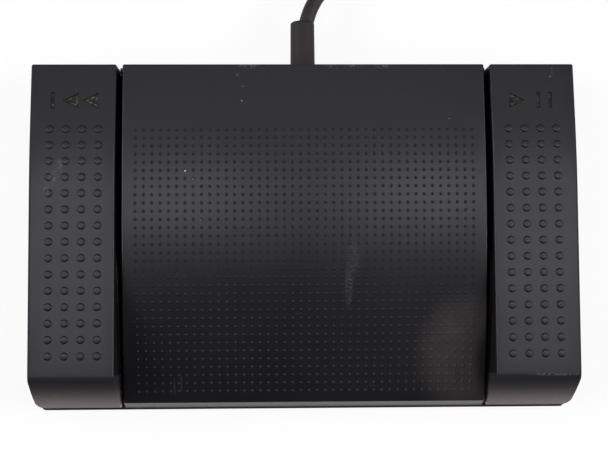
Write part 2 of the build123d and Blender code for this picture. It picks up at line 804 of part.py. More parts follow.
with BuildPart() as switch_screws:
    for side in (-1, 1):
        for screw_y in switch_screw_rows:
            head_x = side * (switch_x - switch_width / 2)
            with BuildSketch(Plane.YZ.offset(head_x)):
                with Locations((screw_y, switch_screw_z)):
                    Circle(switch_screw_head)
            extrude(amount=-side * switch_head_thick)
            with BuildSketch(Plane.YZ.offset(head_x)):
                with Locations((screw_y, switch_screw_z)):
                    Circle(switch_screw_radius)
            extrude(amount=side * (switch_width + bracket_thick))
switch_screws.part.label = "switch_screws"
export_step(switch_screws.part, "parts/switch_screws.step")

# Steel weight and its screws
with BuildPart() as ballast_plate:
    with BuildSketch(Plane.XY.offset(base_top + ballast_lift)):
        with Locations((0, ballast_y)):
            RectangleRounded(ballast_width, ballast_depth, ballast_corner)
        with Locations(*[(x, y) for x in (-ballast_screw_x, ballast_screw_x) for y in ballast_screw_rows]):
            Circle(screw_radius + lie_gap, mode=Mode.SUBTRACT)
    extrude(amount=ballast_thick)
ballast_plate.part.label = "ballast_plate"
export_step(ballast_plate.part, "parts/ballast_plate.step")

with BuildPart() as ballast_screws:
    for column_x in (-ballast_screw_x, ballast_screw_x):
        for row_y in ballast_screw_rows:
            with Locations((column_x, row_y, base_top + ballast_lift + ballast_thick)):
                Cylinder(head_radius, head_thick, align=to_floor)
                Cylinder(screw_radius, ballast_thick + ballast_lift, align=from_top)
ballast_screws.part.label = "ballast_screws"
export_step(ballast_screws.part, "parts/ballast_screws.step")

# Terminal board, its screws and headers
with BuildPart() as terminal_board:
    with Locations((0, board_y, base_top + board_lift)):
        Box(board_width, board_depth, board_thick, align=to_floor)
    for place in board_screw_places:
        with Locations((place[0], place[1], base_top + board_lift)):
            Cylinder(small_screw_radius + lie_gap, 4 * board_thick, mode=Mode.SUBTRACT)
terminal_board.part.label = "terminal_board"
export_step(terminal_board.part, "parts/terminal_board.step")

with BuildPart() as board_screws:
    for place in board_screw_places:
        with Locations((place[0], place[1], board_top_z)):
            Cylinder(small_head_radius, head_thick, align=to_floor)
            Cylinder(small_screw_radius, board_thick + board_lift, align=from_top)
board_screws.part.label = "board_screws"
export_step(board_screws.part, "parts/board_screws.step")

with BuildPart() as board_headers:
    with Locations((-header_x, board_y, board_top_z), (header_x, board_y, board_top_z)):
        Box(header_depth, header_width, header_height, align=to_floor)
    with Locations((0, cord_header_y, board_top_z)):
        Box(header_width, header_depth, header_height, align=to_floor)
board_headers.part.label = "board_headers"
export_step(board_headers.part, "parts/board_headers.step")

# Two-core leads from the switches to the board
for hand, side in (("left", -1), ("right", 1)):
    lead_route = [
        (side * (switch_x - lead_radius), lead_y, lead_floor_z),
        (side * lead_turn_x, lead_y, lead_floor_z),
        (side * lead_turn_x, board_y, lead_floor_z),
        (side * lead_rise_x, board_y, lead_floor_z),
        (side * lead_fall_x, board_y, lead_top_z),
        (side * (header_x + header_depth / 2), board_y, lead_top_z),
    ]
    with BuildPart() as switch_lead:
        add(tube(lead_route, bend_radii(lead_route), lead_radius))
    switch_lead.part.label = f"{hand}_switch_lead"
    export_step(switch_lead.part, f"parts/{hand}_switch_lead.step")

# Cord inside the housing, its cores, boot and clamp
boot_y = rear_y + press_gap
boot_end_y = cord_route[0][1]
inner_route = [(0, cord_end_y, cord_z), (0, boot_bend_y, cord_z), cord_route[0]]
with BuildPart() as cord_inner_end:
    add(tube(inner_route, bend_radii(inner_route), cord_radius))
cord_inner_end.part.label = "cord_inner_end"
export_step(cord_inner_end.part, "parts/cord_inner_end.step")

with BuildPart() as cord_conductors:
    for step in (-1, 0, 1):
        with Locations(Location((step * core_pitch, cord_end_y, cord_z), (90, 0, 0))):
            Cylinder(core_radius, cord_end_y - cord_header_y - header_depth / 2, align=to_floor)
cord_conductors.part.label = "cord_conductors"
export_step(cord_conductors.part, "parts/cord_conductors.step")

bore_route = [(0, cord_end_y, cord_z), (0, boot_bend_y, cord_z), cord_route[1]]
with BuildPart() as strain_relief:
    with BuildSketch(Plane.XY.offset(cord_z)):
        with BuildLine():
            Polyline(
                (0, boot_y - wall - boot_flange_thick),
                (boot_flange, boot_y - wall - boot_flange_thick),
                (boot_flange, boot_y - wall - 2 * press_gap),
                (boot_neck, boot_y - wall - 2 * press_gap),
                (boot_neck, boot_y),
                (boot_radius, boot_y),
                (boot_tip_radius, boot_end_y),
                (0, boot_end_y),
                close=True,
            )
        make_face()
    revolve(axis=Axis((0, 0, cord_z), (0, 1, 0)))
    fillet(strain_relief.edges().filter_by(GeomType.CIRCLE).sort_by(Axis.Y)[-1], radius=boot_tip_round)
    add(tube(bore_route, bend_radii(inner_route), cord_radius + run_gap), mode=Mode.SUBTRACT)
strain_relief.part.label = "strain_relief"
export_step(strain_relief.part, "parts/strain_relief.step")

with BuildPart() as cord_clamp:
    with Locations((0, clamp_y, cord_z + clamp_split / 2)):
        Box(clamp_width, clamp_depth, clamp_cap, align=to_floor)
    with Locations(Location((0, clamp_y, cord_z), (90, 0, 0))):
        Cylinder(cord_radius + press_gap, 2 * clamp_depth, mode=Mode.SUBTRACT)
    for side in (-1, 1):
        with Locations((side * clamp_screw_x, clamp_y, cord_z)):
            Cylinder(small_screw_radius + lie_gap, high_z, mode=Mode.SUBTRACT)
    chamfer(cord_clamp.edges().group_by(Axis.Z)[-1].filter_by(Axis.Y), length=0.8)
cord_clamp.part.label = "cord_clamp"
export_step(cord_clamp.part, "parts/cord_clamp.step")

with BuildPart() as clamp_screws:
    for side in (-1, 1):
        with Locations((side * clamp_screw_x, clamp_y, clamp_top_z)):
            Cylinder(small_head_radius, head_thick, align=to_floor)
            Cylinder(small_screw_radius, clamp_top_z - clamp_hole_z, align=from_top)
clamp_screws.part.label = "clamp_screws"
export_step(clamp_screws.part, "parts/clamp_screws.step")

with BuildPart() as cover_screws:
    for row_y in cover_screw_rows:
        for column_x in (-cover_screw_x, cover_screw_x):
            with Locations((column_x, row_y, foot_drop + socket_height)):
                Cylinder(head_radius, head_thick, align=from_top)
                Cylinder(screw_radius, base_top + pilot_depth - foot_drop - lie_gap, align=to_floor)
cover_screws.part.label = "cover_screws"
export_step(cover_screws.part, "parts/cover_screws.step")

# Free cord from the boot to the coil
route_radii = bend_radii(cord_route)
print("cord bend radii mm:", [round(radius, 1) for radius in route_radii])
with BuildPart() as cord:
    add(tube(cord_route, route_radii, cord_radius))
cord.part.label = "cord"
export_step(cord.part, "parts/cord.step")
print("cord tube length mm:", round(cord.part.volume / (pi * cord_radius**2), 1))

# Coil: half turns that shrink on the lower layer, climb in one tilted half turn, and grow again
coil_start = Vector(*cord_route[-1])
coil_radii = [coil_heart + coil_pitch / 2 * (coil_half_turns - turn) for turn in range(coil_half_turns)]
coil_radii += [coil_heart] + coil_radii[::-1]
coil_samples = []
with BuildPart() as cord_coil:
    with BuildLine() as windings:
        here = coil_start + Vector(0, coil_lead, 0)
        Line(coil_start, here)
        heading = 1
        for turn, radius in enumerate(coil_radii):
            climb = coil_pitch if turn == coil_half_turns else 0
            there = here + Vector(2 * radius * heading, 0, climb)
            reach = (there - here).length / 2
            arc = ThreePointArc(here, (here + there) / 2 + Vector(0, reach * heading, 0), there)
            coil_samples += [(turn, arc @ (step / 48)) for step in range(48)]
            here, heading = there, -heading
        Line(here, here + Vector(0, coil_lead * heading, 0))
    with BuildSketch(Plane(origin=windings.line @ 0, z_dir=windings.line % 0)):
        Circle(cord_radius)
    sweep()
cord_coil.part.label = "cord_coil"
export_step(cord_coil.part, "parts/cord_coil.step")
least = min(
    (a - b).length
    for index, (turn, a) in enumerate(coil_samples)
    for other, b in coil_samples[index + 1 :]
    if other - turn >= 2
)
coil_length = cord_coil.part.volume / (pi * cord_radius**2)
print("coil least gap to itself mm:", round(least - 2 * cord_radius, 2), "length mm:", round(coil_length, 1))

# Tie round the far side of the coil
bundle_x = coil_start.X + coil_radii[0] + coil_pitch / 2
bundle_reach = (coil_pitch + tie_width) / 2
bundle_near = coil_start.Y + coil_lead + sqrt(coil_radii[coil_half_turns - 1] ** 2 - bundle_reach**2)
bundle_far = coil_start.Y + coil_lead + coil_radii[0]
bundle_y = (bundle_near + bundle_far) / 2
bundle_z = coil_start.Z + coil_pitch / 2
bundle_width = bundle_far - bundle_near + 2 * (cord_radius + tie_gap)
bundle_height = coil_pitch + 2 * (cord_radius + tie_gap)
with BuildPart() as coil_tie:
    with BuildSketch(Plane.YZ.offset(bundle_x - tie_width / 2)):
        with Locations((bundle_y, bundle_z)):
            RectangleRounded(bundle_width + 2 * tie_thick, bundle_height + 2 * tie_thick, 3.2)
            RectangleRounded(bundle_width, bundle_height, 2.4, mode=Mode.SUBTRACT)
    extrude(amount=tie_width)
    with Locations((bundle_x, bundle_y, bundle_z + bundle_height / 2 + tie_thick / 2)):
        Box(*tie_head, align=to_floor)
    chamfer(coil_tie.faces().sort_by(Axis.Z)[-1].edges(), length=0.8)
coil_tie.part.label = "coil_tie"
export_step(coil_tie.part, "parts/coil_tie.step")

# Round plug at the cord's end, drooping until it rests on the floor
plug_start = windings.line @ 1 + Vector(0, -droop_gap, 0)
plug_plane = Plane(
    origin=plug_start, x_dir=(1, 0, 0), z_dir=(0, -cos(radians(plug_droop)), -sin(radians(plug_droop)))
)
with BuildPart() as plug_body:
    with BuildSketch(plug_plane):
        Circle(cord_radius + 0.4)
    with BuildSketch(plug_plane.offset(plug_boot_length)):
        Circle(plug_boot_radius)
    loft(ruled=True)
    with BuildSketch(plug_plane.offset(plug_boot_length)):
        Circle(plug_radius)
    extrude(amount=plug_length)
    fillet(plug_body.edges().filter_by(GeomType.CIRCLE).sort_by(Axis.Y)[1:3], radius=0.8)
    for groove in range(plug_grooves):
        groove_place = plug_boot_length + plug_length * (groove + 2) / (plug_grooves + 4)
        with BuildSketch(plug_plane.offset(groove_place)):
            Circle(2 * plug_radius)
            Circle(plug_radius - 0.5, mode=Mode.SUBTRACT)
        extrude(amount=1.2, mode=Mode.SUBTRACT)
    with BuildSketch(plug_plane.offset(plug_boot_length + plug_length)):
        Circle(shell_radius + press_gap)
    extrude(amount=-plug_seat, mode=Mode.SUBTRACT)
plug_body.part.label = "plug_body"
export_step(plug_body.part, "parts/plug_body.step")

shell_plane = plug_plane.offset(plug_boot_length + plug_length - plug_seat)
with BuildPart() as plug_shell:
    with BuildSketch(shell_plane):
        Circle(shell_radius)
        Circle(shell_radius - shell_wall, mode=Mode.SUBTRACT)
    extrude(amount=shell_length + plug_seat)
plug_shell.part.label = "plug_shell"
export_step(plug_shell.part, "parts/plug_shell.step")

with BuildPart() as plug_insert:
    with BuildSketch(shell_plane):
        Circle(shell_radius - shell_wall - press_gap)
        with PolarLocations(plug_pin_circle, plug_pin_count, plug_pin_start, plug_pin_fan):
            Circle(plug_pin_radius + press_gap, mode=Mode.SUBTRACT)
    extrude(amount=plug_seat)
plug_insert.part.label = "plug_insert"
export_step(plug_insert.part, "parts/plug_insert.step")

with BuildPart() as plug_pins:
    with BuildSketch(shell_plane):
        with PolarLocations(plug_pin_circle, plug_pin_count, plug_pin_start, plug_pin_fan):
            Circle(plug_pin_radius)
    extrude(amount=plug_seat + plug_pin_length)
plug_pins.part.label = "plug_pins"
export_step(plug_pins.part, "parts/plug_pins.step")

print("lever turns deg:", round(degrees((hinge_y - finger_y) * travel / lever_contact), 2))
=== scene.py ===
"""Looks, stage and camera of a two-pedal foot control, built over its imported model."""

import functools
import json
import logging
import math
from dataclasses import dataclass
from enum import Enum

import bpy
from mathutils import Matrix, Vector

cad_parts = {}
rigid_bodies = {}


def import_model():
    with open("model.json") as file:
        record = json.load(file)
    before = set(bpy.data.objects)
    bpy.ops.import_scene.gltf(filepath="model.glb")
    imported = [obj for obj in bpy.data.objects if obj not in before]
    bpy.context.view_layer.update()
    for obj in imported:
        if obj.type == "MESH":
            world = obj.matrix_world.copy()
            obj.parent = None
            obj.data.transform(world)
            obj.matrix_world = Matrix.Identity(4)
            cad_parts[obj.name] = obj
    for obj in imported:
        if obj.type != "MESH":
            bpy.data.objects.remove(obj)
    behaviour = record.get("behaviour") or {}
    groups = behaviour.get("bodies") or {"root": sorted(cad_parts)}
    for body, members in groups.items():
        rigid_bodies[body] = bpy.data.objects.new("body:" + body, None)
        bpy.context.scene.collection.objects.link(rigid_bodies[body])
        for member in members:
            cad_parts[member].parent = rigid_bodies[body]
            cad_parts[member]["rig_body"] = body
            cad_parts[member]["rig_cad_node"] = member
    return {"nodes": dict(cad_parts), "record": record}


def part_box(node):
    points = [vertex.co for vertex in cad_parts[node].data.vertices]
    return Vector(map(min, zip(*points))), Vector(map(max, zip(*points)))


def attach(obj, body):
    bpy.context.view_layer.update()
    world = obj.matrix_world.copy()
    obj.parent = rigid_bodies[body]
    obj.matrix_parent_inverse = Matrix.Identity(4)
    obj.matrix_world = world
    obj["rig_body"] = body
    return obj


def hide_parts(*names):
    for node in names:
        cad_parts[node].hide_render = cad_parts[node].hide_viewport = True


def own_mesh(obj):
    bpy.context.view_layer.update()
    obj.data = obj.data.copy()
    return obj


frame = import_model()

LOG = logging.getLogger("foot_control")
MM = 0.001
# Corners nearer than this, in metres, are one corner.
WELD = 0.000001
# Edges sharper than these stay sharp on the mouldings, and on the buttons and wires.
SHARP_MOULDING = math.radians(32)
SHARP_TRIM = math.radians(50)
WHITE = (1.0, 1.0, 1.0, 1.0)

Colour = tuple[float, float, float]
Point = tuple[float, float, float]
# X and Y in millimetres, or half sizes along them.
Spot = tuple[float, float]
# Where a mask gives 0 and where it gives 1.
Band = tuple[float, float]


class Hand(Enum):
    """Side of the housing that a pedal stands on."""

    LEFT = ("left", -1)
    RIGHT = ("right", 1)

    @property
    def word(self) -> str:
        """Word that the side's nodes and bodies start with."""
        return self.value[0]

    @property
    def side(self) -> int:
        """Sign of the side's X."""
        return self.value[1]


class Cloud(Enum):
    """Noises by what they stand for: clouds to a metre, and steps of finer clouds."""

    HANDLING = (22.0, 4.0)
    MOULD_GRAIN = (4200.0, 2.0)
    WIPE_MARKS = (160.0, 3.0)
    # Breaks up the painted light on the cover's right front.
    WORN_PATCH = (90.0, 4.0)
    # Breaks up the painted floor reflection on the fronts.
    SETTLED_DUST = (240.0, 4.0)
    RUBBER_STAIN = (60.0, 3.0)
    RUBBER_GRAIN = (2600.0, 2.0)
    METAL_LINES = (900.0, 3.0)
    METAL_STAIN = (70.0, 4.0)
    GLASS_WEAVE = (1800.0, 2.0)


class Fleck(Enum):
    """Broken marks: clouds to a metre, finer steps, none below and full above."""

    SPECKS = (900.0, 5.0, 0.7, 0.82)
    SMEAR = (1100.0, 4.0, 0.34, 0.7)
    NICKS = (900.0, 4.0, 0.47, 0.58)
    GRIT = (900.0, 3.0, 0.46, 0.62)
    GAP_DUST = (420.0, 4.0, 0.35, 0.6)
    # Breaks up the scuffs and the painted glint.
    SCUFFS = (1200.0, 4.0, 0.4, 0.68)
    LINT = (700.0, 5.0, 0.66, 0.8)


class Value:
    """A shader number that can be written in sums."""

    def __init__(self, sheet: "ShaderSheet", socket: bpy.types.NodeSocket) -> None:
        """Keep the sheet of nodes and the socket that gives the number.

        Args:
            sheet: Sheet that the number's nodes are on.
            socket: Output socket that gives the number.
        """
        self.sheet = sheet
        self.socket = socket

    def __add__(self, other: "Value | float") -> "Value":
        """Sum."""
        return self.sheet.maths("ADD", self, other)

    __radd__ = __add__

    def __mul__(self, other: "Value | float") -> "Value":
        """Product."""
        return self.sheet.maths("MULTIPLY", self, other)

    __rmul__ = __mul__

    def __sub__(self, other: "Value | float") -> "Value":
        """Difference."""
        return self.sheet.maths("SUBTRACT", self, other)

    def __rsub__(self, other: "Value | float") -> "Value":
        """Difference from a plain number."""
        return self.sheet.maths("SUBTRACT", other, self)

    def __truediv__(self, other: "Value | float") -> "Value":
        """Quotient."""
        return self.sheet.maths("DIVIDE", self, other)

    def __abs__(self) -> "Value":
        """Size without its sign."""
        return self.sheet.maths("ABSOLUTE", self)


class ShaderSheet:
    """Sheet of nodes of one material or of the world."""

    def __init__(self, owner: bpy.types.Material | bpy.types.World) -> None:
        """Start with no nodes.

        Args:
            owner: Material or world that the nodes are for.
        """
        self.owner = owner
        owner.use_nodes = True
        self.tree = owner.node_tree
        self.tree.nodes.clear()
        self._place: tuple[Value, Value, Value] | None = None

    @classmethod
    def named(cls, name: str) -> "ShaderSheet":
        """Sheet of a new material."""
        return cls(bpy.data.materials.new(name))

    def node(
        self, kind: str, settings: dict | None = None, inputs: dict | None = None
    ) -> bpy.types.Node:
        """Make one node.

        Args:
            kind: Type of the node, such as ShaderNodeMath.
            settings: Its own settings, set first; stops are those of a ramp.
            inputs: Values or links, by the name or number of the socket.

        Returns:
            The node.
        """
        made = self.tree.nodes.new(kind)
        for key, value in (settings or {}).items():
            if key == "stops":
                ramp = made.color_ramp.elements
                while len(ramp) < len(value):
                    ramp.new(0.5)
                for stop, (where, colour) in zip(ramp, value):
                    stop.position = where
                    stop.color = (*colour, 1)
            else:
                setattr(made, key, value)
        for key, value in (inputs or {}).items():
            socket = made.inputs[key]
            if isinstance(value, Value):
                self.tree.links.new(value.socket, socket)
            else:
                socket.default_value = value
        return made

    def maths(self, operation: str, *values: "Value | float") -> Value:
        """One step of maths on values and plain numbers."""
        made = self.node("ShaderNodeMath", {"operation": operation}, dict(enumerate(values)))
        return Value(self, made.outputs[0])

    def largest(self, *values: Value) -> Value:
        """Largest of some values."""
        return functools.reduce(functools.partial(self.maths, "MAXIMUM"), values)

    def smallest(self, *values: Value) -> Value:
        """Smallest of some values."""
        return functools.reduce(functools.partial(self.maths, "MINIMUM"), values)

    def fade(self, value: Value, start: float, end: float) -> Value:
        """Smooth step of a value.

        Args:
            value: Number to read.
            start: Where the step gives 0.
            end: Where it gives 1.

        Returns:
            A number from 0 to 1.
        """
        made = self.node(
            "ShaderNodeMapRange",
            {"interpolation_type": "SMOOTHSTEP"},
            {"Value": value, "From Min": start, "From Max": end},
        )
        return Value(self, made.outputs["Result"])

    def coordinates(self) -> Value:
        """Object coordinates as a vector."""
        return Value(self, self.node("ShaderNodeTexCoord").outputs["Object"])

    def place(self) -> tuple[Value, Value, Value]:
        """X, Y and Z on the object, in metres."""
        if self._place is None:
            made = self.node("ShaderNodeSeparateXYZ", inputs={0: self.coordinates()})
            self._place = tuple(Value(self, made.outputs[axis]) for axis in range(3))
        return self._place

    def stretched(self, scale: Point) -> Value:
        """Object coordinates scaled by axis.

        Args:
            scale: Factor of each axis.

        Returns:
            The vector.
        """
        made = self.node("ShaderNodeMapping", inputs={"Vector": self.coordinates(), "Scale": scale})
        return Value(self, made.outputs[0])

    def noise(self, cloud: Cloud, vector: Value | None = None) -> Value:
        """Cloudy noise.

        Args:
            cloud: Which noise.
            vector: Coordinates, else the object's.

        Returns:
            A number about 0.5.
        """
        return self._noise(*cloud.value, self.coordinates() if vector is None else vector)

    def flecks(self, fleck: Fleck) -> Value:
        """Broken marks, from 0 to 1."""
        scale, detail, none, full = fleck.value
        return self.fade(self._noise(scale, detail, self.coordinates()), none, full)

    def _noise(self, scale: float, detail: float, vector: Value) -> Value:
        """Noise node on a vector."""
        inputs = {"Vector": vector, "Scale": scale, "Detail": detail}
        return Value(self, self.node("ShaderNodeTexNoise", inputs=inputs).outputs["Fac"])

    def spot(self, centre: Spot, reach: Spot) -> Value:
        """Soft round or oval spot, seen from above.

        Args:
            centre: X and Y in millimetres.
            reach: Half sizes along X and Y in millimetres.

        Returns:
            1 at the centre and 0 past the edge.
        """
        x, y, _ = self.place()
        across = (x - centre[0] * MM) / (reach[0] * MM)
        along = (y - centre[1] * MM) / (reach[1] * MM)
        return self.fade(across * across + along * along, 1.0, 0.0)

    def mix(
        self, factor: "Value | float", first: "Value | Colour", second: "Value | Colour"
    ) -> Value:
        """Blend of two colours.

        Args:
            factor: Share of the second colour.
            first: Colour where the factor is 0.
            second: Colour where it is 1.

        Returns:
            The colour.
        """
        ends = {0: factor}
        for key, colour in ((6, first), (7, second)):
            ends[key] = colour if isinstance(colour, Value) else (*colour, 1)
        return Value(self, self.node("ShaderNodeMix", {"data_type": "RGBA"}, ends).outputs[2])

    def bump(
        self, height: Value, depth: float, strength: float = 1.0, under: Value | None = None
    ) -> Value:
        """Relief from a height.

        Args:
            height: Height from 0 to 1.
            depth: Real depth in metres.
            strength: Share of the relief that is used.
            under: Relief that this one lies on.

        Returns:
            The normal.
        """
        inputs = {"Height": height, "Distance": depth, "Strength": strength}
        if under is not None:
            inputs["Normal"] = under
        return Value(self, self.node("ShaderNodeBump", inputs=inputs).outputs[0])

    def finish(self, **inputs: "Value | float | Colour") -> bpy.types.Material:
        """Close the sheet with the surface shader.

        Args:
            inputs: Sockets of the surface, with _ for a space in their names.

        Returns:
            The material.
        """
        named = {}
        for key, value in inputs.items():
            named[key.replace("_", " ")] = (*value, 1) if isinstance(value, tuple) else value
        surface = self.node("ShaderNodeBsdfPrincipled", inputs=named)
        self.node("ShaderNodeOutputMaterial", inputs={0: Value(self, surface.outputs[0])})
        return self.owner

    def blend(
        self, factor: Value, first: bpy.types.Node, second: bpy.types.Node, end: str
    ) -> None:
        """Close the sheet with a blend of two shaders.

        Args:
            factor: Share of the second shader.
            first: Shader where the factor is 0.
            second: Shader where it is 1.
            end: Type of the output node.
        """
        ends = {0: factor, 1: Value(self, first.outputs[0]), 2: Value(self, second.outputs[0])}
        blend = self.node("ShaderNodeMixShader", inputs=ends)
        self.node(end, inputs={0: Value(self, blend.outputs[0])})


class Layer(Enum):
    """What lies on a surface, or painted shade and light: its colour, how far it covers and how
    much it dulls.
    """

    # Painted shade: near-black colour laid in the symbol grooves, in the nicks and beside the
    # cover's right gap.
    DARK = ((0.0012, 0.0011, 0.0012), 0.85, 0.35)
    # Painted light: pale brownish colour for the floor's reflection on the fronts and a lit patch
    # on the cover's right front.
    DUST = ((0.200, 0.150, 0.148), 1.0, 0.2)
    # Brown dust in the symbol's grooves, and the pale line on the pedals' inner walls.
    GRIME = ((0.50, 0.37, 0.24), 1.0, 0.0)
    # Pale chalky specks, scuffs and nicks, and a painted glint along the right pedal's nose.
    CHALK = ((0.62, 0.60, 0.56), 1.0, 0.0)


@dataclass(frozen=True)
class Marks:
    """What a surface carries, and the shade and light painted on it, with a mask from 0 to 1 for
    each kind.

    The layers lie on each other in the order that they are given in.
    """

    layers: tuple[tuple[Layer, Value], ...] = ()
    sunk: Value | None = None
    dull: Value | None = None


@dataclass(frozen=True)
class MouldedPlastic:
    """Black moulded plastic with a fine grain and years of handling.

    The grain is a spark-eroded mould's, about a fifth of a millimetre.
    """

    name: str
    colour: Colour = (0.0078, 0.0075, 0.0090)
    roughness: float = 0.36
    # Depths of the grain and of a pit, in metres.
    grain: float = 0.00003
    pit_depth: float = 0.0006
    # Share of the wipe marks, and their colour.
    scuffed: float = 1.0
    scuff_colour: Colour = (0.13, 0.125, 0.12)
    index: float = 1.4
    sheen: Colour = (0.945, 0.915, 1.0)
    # Roughness that a dull place adds.
    dulling: float = 0.55

    def marks(self, sheet: ShaderSheet) -> Marks:
        """Marks of this piece alone."""
        return Marks()

    def build(self) -> bpy.types.Material:
        """Make the material.

        Returns:
            The material.
        """
        sheet = ShaderSheet.named(self.name)
        clouds = sheet.noise(Cloud.HANDLING)
        grain = sheet.noise(Cloud.MOULD_GRAIN)
        streaks = sheet.noise(Cloud.WIPE_MARKS, sheet.stretched((1.0, 14.0, 1.0)))
        scratch = sheet.fade(streaks, 0.66, 0.8) * self.scuffed
        handled = tuple(part * 1.22 for part in self.colour)
        shade = sheet.mix(sheet.fade(clouds, 0.3, 0.72), self.colour, handled)
        specks = sheet.flecks(Fleck.SPECKS)
        shade = sheet.mix(scratch * 0.16 + specks * 0.042, shade, self.scuff_colour)
        polish = self.roughness + (clouds - 0.5) * 0.10 + scratch * 0.10 + (grain - 0.5) * 0.12
        relief = sheet.bump(grain, self.grain, 0.55)
        marks = self.marks(sheet)
        for layer, mask in marks.layers:
            colour, cover, dulling = layer.value
            shade = sheet.mix(mask * cover, shade, colour)
            polish = polish + mask * dulling
        if marks.sunk is not None:
            relief = sheet.bump(1 - marks.sunk, self.pit_depth, under=relief)
        if marks.dull is not None:
            polish = polish + marks.dull * self.dulling
        gloss = {"IOR": self.index, "Specular_Tint": self.sheen}
        return sheet.finish(Base_Color=shade, Roughness=polish, Normal=relief, **gloss)


@dataclass(frozen=True)
class CoverPlastic(MouldedPlastic):
    """Cover's plastic, with its smear, pale specks and nicked rear edge, and painted light and
    shade at the right front.
    """

    # X, Y, half size and strength of each speck.
    specks: tuple[tuple[float, float, float, float], ...] = (
        (-49.8, 27.4, 0.55, 0.8),
        (-46.5, 24.0, 0.45, 0.3),
        (-43.2, 6.9, 0.35, 0.35),
        (-28.0, 68.6, 1.0, 0.05),
        (-25.7, 63.6, 0.35, 0.2),
        (-26.2, 57.3, 0.5, 0.25),
        (61.0, 49.5, 0.35, 0.3),
    )
    # Middle and reach of each soft spot.
    smear: tuple[tuple[Spot, Spot], ...] = (
        ((20.2, -8.5), (3.4, 9.5)),
        ((18.2, -20.0), (2.2, 11.5)),
    )
    scratches: tuple[tuple[Spot, Spot], ...] = (
        ((-55.3, -63.0), (0.45, 5.0)),
        ((-52.4, -61.0), (0.45, 5.5)),
    )
    # Painted light on the right front, and a band of painted shade beside the right gap: middle and
    # reach of each.
    worn: tuple[Spot, Spot] = ((68.0, -49.0), (24.0, 29.0))
    rubbed: tuple[Spot, Spot] = ((77.8, -51.0), (7.4, 20.0))
    # X and half length of each nick in millimetres, and where the edge lies in metres.
    nicks: tuple[tuple[float, float], ...] = ((-24.0, 6.0), (12.0, 4.0), (21.0, 6.0), (33.0, 4.5))
    rear: Band = (0.0708, 0.0730)
    rear_top: Band = (0.0275, 0.0285)
    lip: Band = (-0.0694, -0.0704)

    def marks(self, sheet: ShaderSheet) -> Marks:
        """Specks, a smear, scratches, the rear edge's nicks, and painted shade, light and lip
        reflection.

        Args:
            sheet: The material's sheet.

        Returns:
            The marks.
        """
        nicked = self.nicked(sheet)
        # Band of painted shade beside the right gap.
        rubbed = sheet.spot(*self.rubbed)
        # Painted light: a paler patch on the right front, kept off the band of painted shade.
        worn = sheet.spot(*self.worn) * (sheet.noise(Cloud.WORN_PATCH) * 0.16 + 0.06) * (1 - rubbed)
        # Painted reflection of the floor along the front lip.
        sheen_mottle = sheet.noise(Cloud.SETTLED_DUST) * 0.4 + 0.4
        lip = sheet.fade(sheet.place()[1], *self.lip) * sheen_mottle
        layers = (
            # Painted shade in the nicks and in the band beside the right gap.
            (Layer.DARK, sheet.largest(nicked * 0.35, rubbed)),
            (Layer.DUST, sheet.largest(worn, lip)),
            (Layer.CHALK, sheet.largest(self.chalked(sheet), nicked * 0.13)),
        )
        return Marks(layers, sunk=nicked * 0.35)

    def chalked(self, sheet: ShaderSheet) -> Value:
        """Pale smear, specks and scratches.

        Args:
            sheet: The material's sheet.

        Returns:
            The mask.
        """
        top, foot = (sheet.spot(*place) for place in self.smear)
        pale = [(top * 0.6 + foot) * sheet.flecks(Fleck.SMEAR) * 0.06]
        for across, along, size, strength in self.specks:
            pale.append(sheet.spot((across, along), (size, size)) * strength)
        pale += [sheet.spot(*place) * 0.028 for place in self.scratches]
        return sheet.largest(*pale)

    def nicked(self, sheet: ShaderSheet) -> Value:
        """Broken nicks along the rear edge.

        Args:
            sheet: The material's sheet.

        Returns:
            The mask.
        """
        x, y, z = sheet.place()
        edge = sheet.fade(y, *self.rear) * sheet.fade(z, *self.rear_top)
        near = (
            sheet.fade(abs(x / MM - across), reach, 0.3 * reach)
            for across, reach in self.nicks
        )
        return edge * sheet.flecks(Fleck.NICKS) * sheet.largest(*near)


